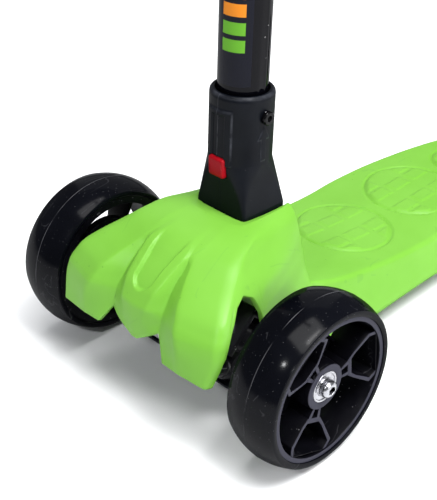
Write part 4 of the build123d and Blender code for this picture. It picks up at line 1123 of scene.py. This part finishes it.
tube_tree.links.new(maths(tube_tree, "ADD", tube_rough, 0.08), tube_shader.inputs["Roughness"])
tube_bump = tube_tree.nodes.new("ShaderNodeBump")
tube_bump.inputs["Distance"].default_value = 0.00004
tube_relief = use_group(tube_tree, relief, tube_where, Scale=300)
tube_height = maths(tube_tree, "ADD", film, maths(tube_tree, "MULTIPLY", tube_relief, 0.25))
tube_tree.links.new(tube_height, tube_bump.inputs["Height"])
tube_tree.links.new(tube_bump.outputs["Normal"], tube_shader.inputs["Normal"])
replace_softened("lower_tube", tube_paint, 0.0003)

# Clamp, inner tube and handlebar: a split collar of cast aluminium with a quick lever, an
# anodised tube that slides in the lower one, and a welded tee on it with the crossbar.

anodised = make_finish(
    "dark_anodised", (0.045, 0.045, 0.05), (0.06, 0.06, 0.065), 0.32, patch=(60, 2), streak=(60, 0.012),
    grain=(2200, 0.00001), metallic=0.7,
)
for node in ("inner_tube", "crossbar"):
    replace_softened(node, anodised, 0.0003)
for node in ("clamp_collar", "clamp_lever"):
    replace_softened(node, black_steel, 0.0006)
replace_softened("tee", black_steel, 0.0008)
for node in ("tube_bush", "slide_plug"):
    replace_softened(node, black_nylon, 0.0004)
replace_softened("tee_screw", zinc, 0.0003)

# Grips: soft rubber sleeves pushed on the crossbar, with a flange inside and rings of ribs.

grip_rubber = make_finish(
    "grip_rubber", (0.016, 0.016, 0.017), (0.026, 0.026, 0.027), 0.62, patch=(50, 2.5), dust_and_glint=(500, 0.08),
    dust_and_glint_colour=(0.2, 0.2, 0.19), streak=(80, 0.012), grain=(1100, 0.00005), gloss=0.35,
)
for name, side in (("left", 1), ("right", -1)):
    low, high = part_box(name + "_grip")
    middle = (low + high) / 2
    length = (high.x - low.x) * 1000
    profile = [(0, 11.3), (0, 18.6), (0.9, 19.4), (3.2, 19.4), (4.2, 18.4), (5.0, 15.4)]
    position = 7.0
    while position < length - 10:
        profile += [(position, 15.5), (position + 1.9, 15.5), (position + 2.4, 14.6), (position + 3.4, 14.6)]
        position += 3.9
    profile += [(length - 6, 15.4), (length - 2.2, 15.1), (length - 0.6, 13.9), (length, 11.8)]
    profile += [(length, 0.05), (length - 3.4, 0.05), (length - 3.4, 11.3)]
    grip = bmesh.new()
    start = low.x * 1000 if side > 0 else high.x * 1000
    spin_round(grip, profile, start, (middle.y - axle.y) * 1000, middle.z * 1000, side, 72)
    bmesh.ops.remove_doubles(grip, verts=grip.verts, dist=0.00001)
    bmesh.ops.recalc_face_normals(grip, faces=grip.faces)
    piece = add_piece(name + "_ribbed_grip", grip, "handlebar", grip_rubber, 40)
    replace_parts(piece, name + "_grip")

# Rear wheels and brake: two narrow wheels side by side in the fork, under a mudguard of black
# nylon that the heel presses on them.

rear_y, rear_z = 405, 40
for name, side in (("left", 1), ("right", -1)):
    tyre = bmesh.new()
    spin_round(tyre, tyre_profile(39.86, 12, 3, 31, 1.2, 0.12), side * 13, rear_y, rear_z, steps=112)
    bmesh.ops.recalc_face_normals(tyre, faces=tyre.faces)
    piece = add_piece(name + "_rear_tread", tyre, name + "_rear_wheel", tyre_compound, 40)
    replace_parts(piece, name + "_rear_tyre")
    replace_softened(name + "_rear_rim", rim_nylon, 0.0004)
    replace_softened(name + "_rear_bearings", bright_steel, 0.0002)
replace_softened("rear_axle_bolt", bright_steel, 0.0003)
replace_softened("rear_brake", black_nylon, 0.0009)
